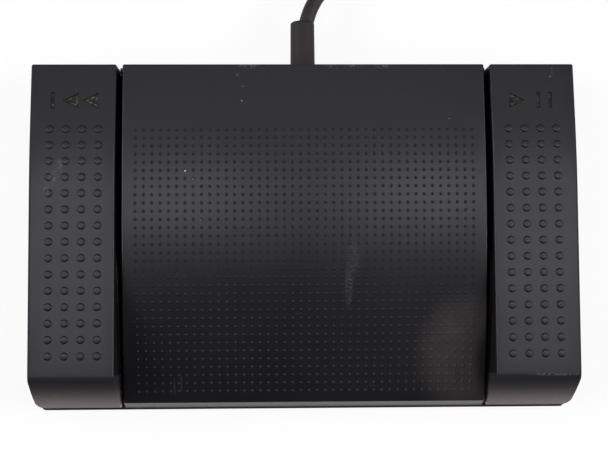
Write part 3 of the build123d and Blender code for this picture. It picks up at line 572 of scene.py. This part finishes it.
@dataclass(frozen=True)
class DirectionMark:
    """Plain transport symbol sunk near a pedal's rear: triangles and bars, in millimetres.

    The triangles point away from the housing's middle.
    """

    hand: Hand
    # Middle of the symbol.
    x: float = 96.2
    y: float = 57.5
    # Half height of both shapes, and length of a triangle.
    half: float = 3.6
    long: float = 7.0
    # Unit of the shapes' spacing.
    step: float = 8.2
    # Width and depth of the grooves.
    line: float = 1.8
    depth: float = 0.7

    @property
    def half_groove(self) -> float:
        """Half width of a groove, a little inside the painted line."""
        return 0.47 * self.line

    def arrows(self) -> list[float]:
        """X of the triangles' middles, some steps from the symbol's."""
        shares = (-0.8, 0.2) if self.hand is Hand.LEFT else (-0.75,)
        return [self.hand.side * (self.x + self.step * share) for share in shares]

    def bars(self) -> list[float]:
        """X of the bars' middles, some steps from the symbol's."""
        shares = (1.1,) if self.hand is Hand.LEFT else (0.35, 0.95)
        return [self.hand.side * (self.x + self.step * share) for share in shares]

    def near_arrow(self, sheet: ShaderSheet, centre: float) -> Value:
        """Distance from the line of one triangle.

        Args:
            sheet: The material's sheet.
            centre: X of the triangle's middle.

        Returns:
            0 at the middle of the line and 0.5 at its edges.
        """
        x, y, _ = sheet.place()
        ahead = (x / MM - centre) * float(self.hand.side)
        slope = math.atan2(self.half, self.long)
        half = (0.5 * self.long - ahead) * math.tan(slope)
        flank = (abs(y / MM - self.y) - half) * math.cos(slope)
        inside = sheet.largest(flank, -0.5 * self.long - ahead)
        return abs(inside / self.line + 0.5)

    def near_bar(self, sheet: ShaderSheet, centre: float) -> Value:
        """Distance from the line of one bar.

        Args:
            sheet: The material's sheet.
            centre: X of the bar's middle.

        Returns:
            0 at the middle of the line and 0.5 at its edges.
        """
        x, y, _ = sheet.place()
        across = abs(x / MM - centre) / self.line
        along = (abs(y / MM - self.y) - self.half) / self.line + 0.5
        return sheet.largest(across, along)

    def near(self, sheet: ShaderSheet) -> Value:
        """Distance from the nearest line of the symbol.

        Args:
            sheet: The material's sheet.

        Returns:
            0 at the middle of a line and 0.5 at its edges.
        """
        places = [self.near_arrow(sheet, centre) for centre in self.arrows()]
        places += [self.near_bar(sheet, centre) for centre in self.bars()]
        return sheet.smallest(*places)

    def rings(self) -> list[bpy.types.Object]:
        """Three-cornered rings that cut the triangles.

        Returns:
            The rings, level and at Y 0.
        """
        # The ring's middle line is the triangle's outline, drawn in by half a line.
        side = math.hypot(self.half, self.long)
        inner = self.half * self.long / (side + self.half)
        share = 1 - 0.5 * self.line / inner
        # A three-cornered ring is 1.5 radii long, and its middle lies 0.5 radii from its back.
        radius = self.long * share / 1.5
        shift = inner - 0.5 * self.long - inner * share + 0.5 * radius
        # Its sides meet the corners' sections at 60 degrees and are half as wide.
        thick = 2 * self.half_groove
        rings = []
        for centre in self.arrows():
            Bench.clear()
            bpy.ops.mesh.primitive_torus_add(
                major_segments=3,
                minor_segments=12,
                major_radius=radius * MM,
                minor_radius=thick * MM,
                location=((centre + shift * self.hand.side) * MM, 0, 0),
                rotation=(0, 0, 0 if self.hand is Hand.RIGHT else math.pi),
            )
            ring = bpy.context.object
            width = self.half * share / (radius * math.sin(math.pi / 3))
            ring.scale = (1, width, self.depth / thick)
            rings.append(ring)
        return rings

    def rods(self) -> list[bpy.types.Object]:
        """Rods that cut the bars.

        Returns:
            The rods, level and at Y 0.
        """
        rods = []
        for centre in self.bars():
            Bench.clear()
            bpy.ops.mesh.primitive_cylinder_add(
                vertices=12,
                radius=self.half_groove * MM,
                depth=(2 * self.half - 0.1 * self.line) * MM,
                location=(centre * MM, 0, 0),
                rotation=(math.pi / 2, 0, 0),
            )
            rod = bpy.context.object
            rod.scale = (1, self.depth / self.half_groove, 1)
            rods.append(rod)
        return rods

    def cutters(self, crown: "Crown") -> list[bpy.types.Object]:
        """Round-bottomed rings and rods that cut the grooves.

        Args:
            crown: Side view of the top that they lie on.

        Returns:
            The cutters, half sunk in the top.
        """
        made = self.rings() + self.rods()
        for cutter in made:
            Bench.settle(cutter)
            cutter.location = (0, self.y * MM, crown.height(self.y, True) * MM)
            cutter.rotation_euler = (crown.tilt(self.y, True), 0, 0)
            Bench.settle(cutter)
        return made


@dataclass(frozen=True)
class PedalPlastic(MouldedPlastic):
    """Pedal's plastic, with old dust and painted shade in its symbol, scuffs, a pale line in the
    gap and painted light.
    """

    hand: Hand = Hand.LEFT
    # Shares of dust in the symbol and of the pale line on the inner wall.
    filled: float = 0.2
    lined: float = 1.0
    # Middle, reach and strength of each scuff, and of the right pedal's painted glint.
    scuffs: tuple[tuple[Spot, Spot, float], ...] = (
        ((-101.6, 30.0), (1.6, 4.0), 0.09),
        ((-104.4, 25.0), (1.8, 4.5), 0.09),
        ((-107.2, 19.6), (1.6, 4.0), 0.09),
    )
    # The inner wall's X, and the height and slope of the pale line on it, in millimetres.
    wall: Band = (79.3, 78.9)
    line_height: float = 30.4
    line_slope: float = 0.297
    # In metres: Z of the top, Y of the pale line, the foot's painted reflection and the nose, X and
    # Z of the rim.
    top: Band = (0.026, 0.028)
    line_start: Band = (-0.006, -0.014)
    foot: Band = (-0.0604, -0.0726)
    nose_rear: Band = (-0.0568, -0.0582)
    nose_front: Band = (-0.0715, -0.0605)
    rim_side: Band = (0.1134, 0.1142)
    rim_top: Band = (0.028, 0.031)

    @classmethod
    def of(cls, hand: Hand) -> "PedalPlastic":
        """Plastic of one side's pedal.

        Args:
            hand: The side.

        Returns:
            The finish.
        """
        name = f"{hand.word}_pedal_plastic"
        if hand is Hand.LEFT:
            return cls(name)
        scuffs = (
            ((105.4, 70.2), (0.5, 2.2), 0.12),
            ((104.7, 67.8), (0.9, 0.6), 0.16),
            # A painted glint: thin pale line along the top of the nose.
            ((104.0, -57.7), (14.0, 0.8), 0.11),
        )
        return cls(name, hand=hand, filled=0.12, lined=0.3, scuffs=scuffs)

    def marks(self, sheet: ShaderSheet) -> Marks:
        """Painted shade and old dust in the symbol, scuffs, a painted glint, the pale line in the
        gap and painted floor reflection on the foot.

        Args:
            sheet: The material's sheet.

        Returns:
            The marks.
        """
        y = sheet.place()[1]
        near = DirectionMark(self.hand).near(sheet)
        top = sheet.fade(sheet.place()[2], *self.top)
        packed = sheet.flecks(Fleck.GRIT) * self.filled + 0.01
        symbol = sheet.fade(near, 0.36, 0.12) * top * packed
        sheen_mottle = sheet.noise(Cloud.SETTLED_DUST) * 0.5 + 0.62
        pale = (sheet.spot(centre, reach) * strength for centre, reach, strength in self.scuffs)
        layers = (
            # Painted shade in the symbol's grooves.
            (Layer.DARK, sheet.fade(near, 0.52, 0.4) * top),
            # Painted reflection of the floor, paler towards the foot of the front.
            (Layer.DUST, sheet.fade(y, *self.foot) * sheen_mottle),
            (Layer.GRIME, sheet.largest(symbol, self.dust_line(sheet) * self.lined)),
            # Pale scuffs, and on the right pedal a painted glint along the nose.
            (Layer.CHALK, sheet.largest(*pale) * sheet.flecks(Fleck.SCUFFS)),
        )
        return Marks(layers, dull=self.nose(sheet))

    def dust_line(self, sheet: ShaderSheet) -> Value:
        """Sloping pale brown line on the inner wall.

        Args:
            sheet: The material's sheet.

        Returns:
            The mask.
        """
        x, y, z = sheet.place()
        off = abs(z / MM - y / MM * self.line_slope - self.line_height)
        line = sheet.fade(abs(x) / MM, *self.wall) * sheet.fade(off, 2.2, 0.7)
        return line * sheet.fade(y, *self.line_start) * (sheet.flecks(Fleck.GAP_DUST) * 0.6 + 0.4)

    def nose(self, sheet: ShaderSheet) -> Value:
        """Where the curved front and the outer rim are dull.

        Args:
            sheet: The material's sheet.

        Returns:
            The mask.
        """
        x, y, z = sheet.place()
        nose = sheet.fade(y, *self.nose_rear) * sheet.fade(y, *self.nose_front)
        rim = sheet.fade(abs(x), *self.rim_side) * sheet.fade(z, *self.rim_top)
        return sheet.largest(nose, rim)


@dataclass(frozen=True)
class SoftRubber:
    """Matt rubber or soft vinyl of the cable, the boot and the feet."""

    name: str
    colour: Colour = (0.0125, 0.0098, 0.011)
    roughness: float = 0.58
    grain: float = 0.00003
    lint_colour: Colour = (0.2, 0.18, 0.16)
    index: float = 1.42
    sheen: Colour = (0.97, 0.91, 0.96)

    def build(self) -> bpy.types.Material:
        """Make the material.

        Returns:
            The material.
        """
        sheet = ShaderSheet.named(self.name)
        clouds = sheet.noise(Cloud.RUBBER_STAIN)
        fine = sheet.noise(Cloud.RUBBER_GRAIN)
        pale = tuple(part * 1.35 for part in self.colour)
        shade = sheet.mix(sheet.fade(clouds, 0.3, 0.7), self.colour, pale)
        shade = sheet.mix(sheet.flecks(Fleck.LINT) * 0.12, shade, self.lint_colour)
        rough = self.roughness + (clouds - 0.5) * 0.16 + (fine - 0.5) * 0.1
        relief = sheet.bump(fine, self.grain, 0.5)
        gloss = {"IOR": self.index, "Specular_Tint": self.sheen}
        return sheet.finish(Base_Color=shade, Roughness=rough, Normal=relief, **gloss)


class Wear(Enum):
    """How a metal surface was made, as the stretch of its fine lines along each axis."""

    DRAWN = (1.0, 1.0, 30.0)
    ROLLED = (1.0, 24.0, 1.0)
    PLATED = (1.0, 1.0, 1.0)


@dataclass(frozen=True)
class Metal:
    """Bare or plated metal of pins, springs, screws, the weight and the plug."""

    name: str
    colour: Colour
    roughness: float = 0.3
    wear: Wear = Wear.PLATED
    line_depth: float = 0.00001

    def build(self) -> bpy.types.Material:
        """Make the material.

        Returns:
            The material.
        """
        sheet = ShaderSheet.named(self.name)
        lines = sheet.noise(Cloud.METAL_LINES, sheet.stretched(self.wear.value))
        stain = sheet.noise(Cloud.METAL_STAIN)
        stained = tuple(part * 0.62 for part in self.colour)
        shade = sheet.mix(sheet.fade(stain, 0.5, 0.8) * 0.4, self.colour, stained)
        rough = self.roughness + (lines - 0.5) * 0.22 + (stain - 0.5) * 0.12
        relief = sheet.bump(lines, self.line_depth, 0.4)
        return sheet.finish(Base_Color=shade, Metallic=1.0, Roughness=rough, Normal=relief)


@dataclass(frozen=True)
class Laminate:
    """Terminal board: green lacquer over copper tracks on glass laminate."""

    name: str
    lacquer: Colour = (0.02, 0.09, 0.035)
    track_colour: Colour = (0.05, 0.17, 0.06)
    weave_colour: Colour = (0.03, 0.11, 0.05)
    # Spacing of the tracks, where a track ends across and along it, and its thickness, in metres.
    lane: float = 0.0016
    track_side: Band = (0.0007, 0.0005)
    track_end: Band = (0.0175, 0.017)
    track_depth: float = 0.00004

    def build(self) -> bpy.types.Material:
        """Make the material.

        Returns:
            The material.
        """
        sheet = ShaderSheet.named(self.name)
        x, y, _ = sheet.place()
        lanes = sheet.maths("PINGPONG", y + self.lane / 2, self.lane)
        track = sheet.fade(lanes, *self.track_side) * sheet.fade(abs(x), *self.track_end)
        weave = sheet.noise(Cloud.GLASS_WEAVE)
        shade = sheet.mix(track * 0.7, self.lacquer, self.track_colour)
        shade = sheet.mix(sheet.fade(weave, 0.4, 0.7) * 0.3, shade, self.weave_colour)
        relief = sheet.bump(track, self.track_depth, 0.8)
        return sheet.finish(Base_Color=shade, Roughness=0.34 + weave * 0.12, Normal=relief)


class Bench:
    """Hand tools that the builders share: what is selected, copied, joined and finished."""

    @staticmethod
    def clear() -> None:
        """Leave edit mode and deselect everything."""
        if bpy.context.object is not None and bpy.context.object.mode != "OBJECT":
            bpy.ops.object.mode_set(mode="OBJECT")
        bpy.ops.object.select_all(action="DESELECT")

    @staticmethod
    def pick(piece: bpy.types.Object) -> None:
        """Select one piece alone and make it active.

        Args:
            piece: The piece.
        """
        Bench.clear()
        piece.select_set(True)
        bpy.context.view_layer.objects.active = piece

    @staticmethod
    def apply(piece: bpy.types.Object, kind: str, **settings: object) -> None:
        """Add one modifier and apply it.

        Args:
            piece: The piece.
            kind: Kind of modifier.
            settings: Its settings.
        """
        Bench.pick(piece)
        made = piece.modifiers.new(kind.lower(), kind)
        for key, value in settings.items():
            setattr(made, key, value)
        bpy.ops.object.modifier_apply(modifier=made.name)

    @staticmethod
    def settle(piece: bpy.types.Object) -> None:
        """Put a piece's place into its mesh."""
        Bench.pick(piece)
        bpy.ops.object.transform_apply(location=True, rotation=True, scale=True)

    @staticmethod
    def copy(piece: bpy.types.Object) -> bpy.types.Object:
        """Copy a piece with a mesh of its own.

        Args:
            piece: The piece.

        Returns:
            The copy.
        """
        Bench.pick(piece)
        bpy.ops.object.duplicate(linked=False)
        return bpy.context.object

    @staticmethod
    def join(pieces: list[bpy.types.Object], name: str) -> bpy.types.Object:
        """Join pieces into the first.

        Args:
            pieces: The pieces.
            name: Name of the joined piece.

        Returns:
            The joined piece.
        """
        Bench.clear()
        for piece in pieces:
            piece.select_set(True)
        bpy.context.view_layer.objects.active = pieces[0]
        bpy.ops.object.join()
        joined = bpy.context.object
        joined.name = name
        joined.data.name = name
        return joined

    @staticmethod
    def skin(node: str) -> bpy.types.Object:
        """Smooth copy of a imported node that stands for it.

        Args:
            node: Name of the node.

        Returns:
            The copy.
        """
        source = frame["nodes"][node]
        body = source["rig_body"]
        piece = source.copy()
        piece.data = source.data.copy()
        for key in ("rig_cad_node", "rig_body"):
            if key in piece:
                del piece[key]
        piece.parent = None
        bpy.context.scene.collection.objects.link(piece)
        piece.name = f"{node}_skin"
        piece.data.name = piece.name
        Bench.pick(piece)
        if piece.data.has_custom_normals:
            bpy.ops.mesh.customdata_custom_splitnormals_clear()
        bpy.ops.object.mode_set(mode="EDIT")
        bpy.ops.mesh.select_all(action="SELECT")
        bpy.ops.mesh.remove_doubles(threshold=WELD)
        bpy.ops.object.mode_set(mode="OBJECT")
        bpy.ops.object.shade_smooth_by_angle(angle=SHARP_MOULDING)
        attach(piece, body)
        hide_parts(node)
        return piece

    @staticmethod
    def dress(
        piece: bpy.types.Object, material: bpy.types.Material, slot: str | None = None
    ) -> None:
        """Give a piece its material.

        Args:
            piece: The piece.
            material: The material.
            slot: Record's material slot of a new piece; not used.
        """
        piece.data.materials.clear()
        piece.data.materials.append(material)


@dataclass(frozen=True)
class Crown:
    """Side view of the tops: arched on the cover, level ahead of the arch on the pedals."""

    top: float = 34.0
    arch: float = 215.0
    # Y of the arch's highest point, and Y past which the top is straight.
    centre: float = 21.7
    strip: float = 46.4

    def height(self, along: float, pedal: bool) -> float:
        """Height of the top.

        Args:
            along: Y in millimetres.
            pedal: Whether on a pedal.

        Returns:
            Z in millimetres.
        """
        if pedal and along < self.centre:
            return self.top
        bend = min(along, self.strip) - self.centre
        arch = self.top - self.arch + math.sqrt(self.arch**2 - bend**2)
        return arch - max(along - self.strip, 0) * math.tan(math.asin(bend / self.arch))

    def tilt(self, along: float, pedal: bool) -> float:
        """Turn about X that stands a piece square on the top.

        Args:
            along: Y in millimetres.
            pedal: Whether on a pedal.

        Returns:
            The angle in radians.
        """
        bend = min(along, self.strip) - self.centre
        return 0.0 if pedal and bend < 0 else -math.asin(bend / self.arch)


@dataclass
class GripField:
    """Rows of raised round buttons on a top, in millimetres."""

    name: str
    columns: int
    rows: int
    pitch: Spot
    # X of the field's middle and Y of its rear row.
    centre: float
    first: float
    pedal: bool
    radius: float
    height: float
    sides: int
    # Width and facets of the rounded top edge.
    rounding: float
    steps: int
    # Depth of a button's foot in the shell, and how its flank leans in below and above it.
    sunk: float = 0.25
    spread: float = 0.5
    lean: float = 0.35
    crown: Crown = Crown()

    def button(self) -> bpy.types.Object:
        """One button with a rounded top edge, at the origin.

        Returns:
            The button.
        """
        Bench.clear()
        bpy.ops.mesh.primitive_cone_add(
            vertices=self.sides,
            radius1=(self.radius + self.spread * self.sunk) * MM,
            radius2=(self.radius - self.lean * self.height) * MM,
            depth=(self.height + self.sunk) * MM,
            location=(0, 0, (self.height - self.sunk) / 2 * MM),
        )
        piece = bpy.context.object
        Bench.settle(piece)
        bpy.ops.object.mode_set(mode="EDIT")
        bpy.ops.mesh.select_mode(type="FACE")
        bpy.ops.mesh.select_all(action="DESELECT")
        bpy.ops.object.mode_set(mode="OBJECT")
        for face in piece.data.polygons:
            face.select = face.normal.z > 0.9
        bpy.ops.object.mode_set(mode="EDIT")
        bpy.ops.mesh.bevel(
            offset=self.rounding * MM, segments=self.steps, profile=0.5, affect="EDGES"
        )
        bpy.ops.object.mode_set(mode="OBJECT")
        bpy.ops.object.shade_smooth_by_angle(angle=SHARP_TRIM)
        return piece

    def build(self) -> bpy.types.Object:
        """Model one button, a row of them, and the rows.

        Returns:
            All the buttons as one piece.
        """
        button = self.button()
        Bench.apply(
            button,
            "ARRAY",
            count=self.columns,
            use_relative_offset=False,
            use_constant_offset=True,
            constant_offset_displace=(self.pitch[0] * MM, 0, 0),
        )
        left = self.centre - self.pitch[0] * (self.columns - 1) / 2
        rows = []
        for row in range(self.rows):
            along = self.first - row * self.pitch[1]
            line = Bench.copy(button)
            line.location = (left * MM, along * MM, self.crown.height(along, self.pedal) * MM)
            line.rotation_euler = (self.crown.tilt(along, self.pedal), 0, 0)
            Bench.settle(line)
            rows.append(line)
        bpy.data.objects.remove(button)
        return Bench.join(rows, self.name)


@dataclass
class Pedal:
    """One pedal's visible skin and its grip buttons."""

    hand: Hand

    def build(self) -> list[bpy.types.Object]:
        """Dress the pedal.

        Returns:
            The pieces.
        """
        material = PedalPlastic.of(self.hand).build()
        node = f"{self.hand.word}_pedal"
        shell = Bench.skin(node)
        for cutter in DirectionMark(self.hand).cutters(Crown()):
            Bench.apply(shell, "BOOLEAN", operation="DIFFERENCE", object=cutter, solver="EXACT")
            bpy.data.objects.remove(cutter)
        Bench.pick(shell)
        bpy.ops.object.shade_smooth_by_angle(angle=SHARP_MOULDING)
        Bench.dress(shell, material, "pedal_plastic")
        buttons = GripField(
            name=f"{self.hand.word}_pedal_buttons",
            columns=4,
            rows=15,
            pitch=(6.74, 6.74),
            centre=self.hand.side * 96.1,
            first=45.25,
            pedal=True,
            radius=1.7,
            height=0.62,
            sides=20,
            rounding=0.36,
            steps=3,
        ).build()
        Bench.dress(buttons, material, "pedal_plastic")
        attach(buttons, node)
        return [shell, buttons]


@dataclass
class Cover:
    """Cover between the pedals and its field of nibs."""

    plastic: CoverPlastic = CoverPlastic("cover_plastic")
    nib_plastic: CoverPlastic = CoverPlastic("nib_plastic", roughness=0.62)

    def build(self) -> list[bpy.types.Object]:
        """Dress the cover.

        Returns:
            The pieces.
        """
        shell = Bench.skin("center_cover")
        Bench.dress(shell, self.plastic.build(), "cover_plastic")
        nibs = GripField(
            name="center_cover_nibs",
            columns=42,
            rows=33,
            pitch=(3.441, 3.419),
            centre=0.0,
            first=44.84,
            pedal=False,
            radius=0.7,
            height=0.48,
            sides=8,
            rounding=0.46,
            steps=3,
        ).build()
        Bench.dress(nibs, self.nib_plastic.build(), "cover_plastic")
        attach(nibs, "housing")
        return [shell, nibs]


@dataclass
class ReturnSpring:
    """Round-wire spring under a pedal."""

    hand: Hand
    metal: bpy.types.Material
    # Radii of the coils and of the wire.
    radius: float = 4.0
    wire: float = 0.5
    turns: int = 6

    def build(self) -> list[bpy.types.Object]:
        """Wind the spring.

        Returns:
            The spring.
        """
        low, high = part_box(f"{self.hand.word}_return_spring")
        centre = (low + high) / 2
        Bench.clear()
        bpy.ops.mesh.primitive_circle_add(
            vertices=8,
            radius=self.wire * MM,
            fill_type="NOTHING",
            location=(self.radius * MM, 0, 0),
            rotation=(math.pi / 2, 0, 0),
        )
        spring = bpy.context.object
        Bench.settle(spring)
        Bench.apply(
            spring,
            "SCREW",
            angle=2 * math.pi,
            screw_offset=(high.z - low.z - 2 * self.wire * MM) / self.turns,
            iterations=self.turns,
            steps=20,
            render_steps=20,
            use_normal_calculate=True,
        )
        bpy.ops.object.mode_set(mode="EDIT")
        bpy.ops.mesh.select_mode(type="VERT")
        bpy.ops.mesh.select_all(action="DESELECT")
        bpy.ops.mesh.select_non_manifold()
        bpy.ops.mesh.edge_face_add()
        bpy.ops.mesh.select_all(action="SELECT")
        bpy.ops.mesh.remove_doubles(threshold=WELD)
        bpy.ops.mesh.normals_make_consistent(inside=False)
        bpy.ops.object.mode_set(mode="OBJECT")
        spring.name = f"{self.hand.word}_return_spring_wire"
        spring.location = (centre.x, centre.y, low.z + self.wire * MM)
        Bench.settle(spring)
        bpy.ops.object.shade_smooth_by_angle(angle=SHARP_TRIM)
        Bench.dress(spring, self.metal, "spring_steel")
        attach(spring, "housing")
        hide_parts(f"{self.hand.word}_return_spring")
        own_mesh(spring)
        return [spring]


@dataclass
class Cable:
    """Free cable from the boot to the plug, with its length put away in a tied coil."""

    jacket: bpy.types.Material
    diameter: float = 6.4
    route: tuple[Point, ...] = (
        (1.8, 95.3, 11.5),
        (3.48, 102.3, 11.5),
        (11.4, 113.4, 8.4),
        (18.0, 127.8, 4.7),
        (22.0, 145.8, 4.2),
        (22.0, 162.6, 4.2),
    )
    # The coil's smallest radius, the spacing of its turns, and its straight start and end.
    heart: float = 23.5
    pitch: float = 6.9
    lead: float = 6.2
    half_turns: int = 7
    # Control points to a half turn.
    steps: int = 8

    def coil(self) -> list[Point]:
        """Control points of the coil, which shrinks below, climbs, and grows again above.

        Returns:
            The points in millimetres.
        """
        growth = range(self.half_turns, 0, -1)
        radii = [self.heart + self.pitch / 2 * turns for turns in growth]
        radii += [self.heart] + radii[::-1]
        x, y, z = self.route[-1]
        y += self.lead
        heading = 1
        points = []
        for turn, radius in enumerate(radii):
            climb = self.pitch if turn == self.half_turns else 0.0
            centre = x + radius * heading
            spread = radius / math.cos(math.pi / 2 / self.steps)
            for step in range(self.steps):
                share = (step + 0.5) / self.steps
                angle = math.pi * (1 - share)
                across = centre + spread * math.cos(angle) * heading
                along = y + spread * math.sin(angle) * heading
                points.append((across, along, z + climb * share))
            x += 2 * radius * heading
            z += climb
            heading = -heading
        points.append((x, y - self.lead, z))
        return points

    def build(self) -> list[bpy.types.Object]:
        """Lay the cable.

        Returns:
            The cable.
        """
        points = [*self.route, *self.coil()]
        line = bpy.data.curves.new("cable", "CURVE")
        line.dimensions = "3D"
        line.bevel_depth = self.diameter / 2 * MM
        line.bevel_resolution = 6
        line.resolution_u = 6
        line.use_fill_caps = True
        spline = line.splines.new("NURBS")
        spline.points.add(len(points) - 1)
        for place, point in zip(spline.points, points):
            place.co = (*(MM * part for part in point), 1)
        spline.order_u = 3
        spline.use_endpoint_u = True
        cable = bpy.data.objects.new("cable", line)
        bpy.context.scene.collection.objects.link(cable)
        Bench.dress(cable, self.jacket, "cord_jacket")
        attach(cable, "housing")
        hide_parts("cord", "cord_coil")
        tuple(MM * part for part in self.route[0])
        self.diameter * MM
        return [cable]


@dataclass
class Fittings:
    """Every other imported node, with the finish of its material slot."""

    # Nodes that other classes show, and nodes that get a smooth copy here.
    shown: frozenset[str] = frozenset(
        "center_cover left_pedal right_pedal cord cord_coil left_return_spring "
        "right_return_spring".split()
    )
    smoothed: frozenset[str] = frozenset("base_plate strain_relief plug_body rubber_feet".split())

    def finishes(self) -> dict[str, bpy.types.Material]:
        """One material for each slot.

        Returns:
            The materials by slot.
        """
        looks = {
            "base_plastic": MouldedPlastic(
                "base_plastic", (0.004, 0.0039, 0.0042), 0.6, scuffed=0.4
            ),
            "foot_rubber": SoftRubber("foot_rubber", (0.012, 0.012, 0.012), 0.7),
            "pin_steel": Metal("ground_steel", (0.56, 0.56, 0.57), 0.22, Wear.DRAWN),
            "spring_steel": Metal("spring_steel", (0.42, 0.42, 0.43), 0.28, Wear.DRAWN),
            "switch_plastic": MouldedPlastic(
                "switch_plastic", (0.03, 0.03, 0.034), 0.4, scuffed=0.2
            ),
            "plunger_plastic": MouldedPlastic(
                "plunger_plastic", (0.42, 0.03, 0.02), 0.32, scuffed=0.1
            ),
            "contact_brass": Metal("contact_brass", (0.78, 0.62, 0.34), 0.26),
            "screw_steel": Metal("zinc_steel", (0.6, 0.6, 0.58), 0.34),
            "ballast_steel": Metal("rolled_steel", (0.3, 0.31, 0.32), 0.46, Wear.ROLLED),
            "board_laminate": Laminate("board_laminate"),
            "header_nylon": MouldedPlastic("header_nylon", (0.66, 0.64, 0.56), 0.42, scuffed=0.1),
            "lead_jacket": SoftRubber("lead_jacket", (0.05, 0.05, 0.055), 0.5),
            "cord_jacket": SoftRubber("cable_jacket"),
            "boot_rubber": SoftRubber("boot_rubber", (0.0100, 0.0078, 0.0096), 0.64),
            "plug_metal": Metal("plug_nickel", (0.72, 0.71, 0.68), 0.2),
        }
        return {slot: look.build() for slot, look in looks.items()}

    def build(self, finishes: dict[str, bpy.types.Material]) -> list[bpy.types.Object]:
        """Dress the nodes.

        Args:
            finishes: Materials by slot.

        Returns:
            The pieces.
        """
        pieces = []
        for entry in frame["record"]["subparts"]:
            node, slot = entry["node"], entry["material_slot"]
            if node in self.shown:
                continue
            if node in self.smoothed:
                piece = Bench.skin(node)
                Bench.dress(piece, finishes[slot], slot)
            else:
                piece = frame["nodes"][node]
                Bench.dress(piece, finishes[slot])
            pieces.append(piece)
        return pieces


@dataclass(frozen=True)
class SoftBox:
    """One soft studio lamp."""

    name: str
    place: Point
    aim: Point
    size: tuple[float, float]
    power: float

    def build(self) -> None:
        """Hang the lamp."""
        lamp = bpy.data.lights.new(self.name, "AREA")
        lamp.shape = "RECTANGLE"
        lamp.size, lamp.size_y = self.size
        lamp.energy = self.power
        hung = bpy.data.objects.new(self.name, lamp)
        hung.location = self.place
        aim = Vector(self.aim) - Vector(self.place)
        hung.rotation_euler = aim.to_track_quat("-Z", "Y").to_euler()
        bpy.context.scene.collection.objects.link(hung)


@dataclass
class Studio:
    """Floor, lamps, surroundings and camera."""

    camera_place: Point = (-0.016055, -0.035959, 0.572789)
    camera_turn: Point = (4.185, -1.63, -0.361)
    lens: float = 76.996
    # Size and middle of the table top, a hair under the feet.
    table: float = 1.5
    table_middle: Point = (0, 0.585, -0.0002)
    table_colour: Colour = (0.9, 0.9, 0.9)
    # Share of plain white where the camera sees the table, and strength of the room's light.
    table_glow: float = 0.88
    room_light: float = 0.04
    lamps: tuple[SoftBox, ...] = (
        SoftBox("overhead_left_lamp", (-0.27, 0.06, 0.95), (-0.27, 0.06, 0.0), (0.36, 0.32), 1.85),
        SoftBox("overhead_right_lamp", (0.32, 0.06, 0.95), (0.32, 0.06, 0.0), (0.36, 0.32), 1.95),
        SoftBox("rear_fill_lamp", (0.0, 0.6, 0.9), (0.0, 0.6, 0.0), (0.9, 0.5), 1.3),
        SoftBox("front_right_lamp", (0.42, -0.62, 0.6), (0.1, 0.0, 0.0), (0.2, 0.2), 0.16),
        SoftBox("left_lamp", (-0.95, 0.1, 0.6), (0.0, 0.0, 0.0), (0.8, 0.5), 8.0),
        SoftBox("right_lamp", (0.95, 0.0, 0.6), (0.0, 0.0, 0.0), (0.8, 0.5), 8.0),
    )

    def floor(self) -> None:
        """White table top that the feet stand on."""
        Bench.clear()
        bpy.ops.mesh.primitive_plane_add(size=self.table, location=self.table_middle)
        floor = bpy.context.object
        floor.name = "floor"
        Bench.settle(floor)
        sheet = ShaderSheet.named("white_table")
        rays = sheet.node("ShaderNodeLightPath").outputs
        kinds = ("Is Camera Ray", "Is Glossy Ray", "Is Transmission Ray")
        seen = sheet.largest(*(Value(sheet, rays[kind]) for kind in kinds))
        matt = sheet.node("ShaderNodeBsdfDiffuse", inputs={"Color": (*self.table_colour, 1)})
        glow = sheet.node("ShaderNodeEmission", inputs={"Color": WHITE, "Strength": 1.0})
        sheet.blend(seen * self.table_glow, matt, glow, "ShaderNodeOutputMaterial")
        floor.data.materials.append(sheet.owner)

    def surroundings(self) -> None:
        """Pale even room: white where the camera looks, soft grey as light."""
        world = bpy.data.worlds.new("studio_room")
        bpy.context.scene.world = world
        sheet = ShaderSheet(world)
        seen = Value(sheet, sheet.node("ShaderNodeLightPath").outputs["Is Camera Ray"])
        room, white = (
            sheet.node("ShaderNodeBackground", inputs={"Color": WHITE, "Strength": strength})
            for strength in (self.room_light, 1.0)
        )
        sheet.blend(seen, room, white, "ShaderNodeOutputWorld")

    def camera(self) -> None:
        """Camera almost straight above, as in the photograph."""
        lens = bpy.data.cameras.new("camera")
        lens.sensor_width = 36.0
        lens.lens = self.lens
        lens.clip_start = 0.01
        lens.clip_end = 20.0
        camera = bpy.data.objects.new("camera", lens)
        camera.location = self.camera_place
        camera.rotation_mode = "XYZ"
        camera.rotation_euler = tuple(math.radians(turn) for turn in self.camera_turn)
        bpy.context.scene.collection.objects.link(camera)
        bpy.context.scene.camera = camera

    def build(self) -> None:
        """Set the stage."""
        self.camera()
        self.floor()
        self.surroundings()
        for lamp in self.lamps:
            lamp.build()
        bpy.context.scene.view_settings.view_transform = "Standard"


def main() -> None:
    """Build the pieces in order and report each."""
    logging.basicConfig(level=logging.INFO)
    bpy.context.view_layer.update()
    Studio().build()
    fittings = Fittings()
    finishes = fittings.finishes()
    made: list[bpy.types.Object] = []
    made += Cover().build()
    for hand in Hand:
        made += Pedal(hand).build()
        made += ReturnSpring(hand, finishes["spring_steel"]).build()
    made += fittings.build(finishes)
    made += Cable(finishes["cord_jacket"]).build()
    for piece in made:
        faces = len(piece.data.polygons) if piece.type == "MESH" else 0
        LOG.info("%s: %d faces", piece.name, faces)


if __name__ == "__main__":
    main()
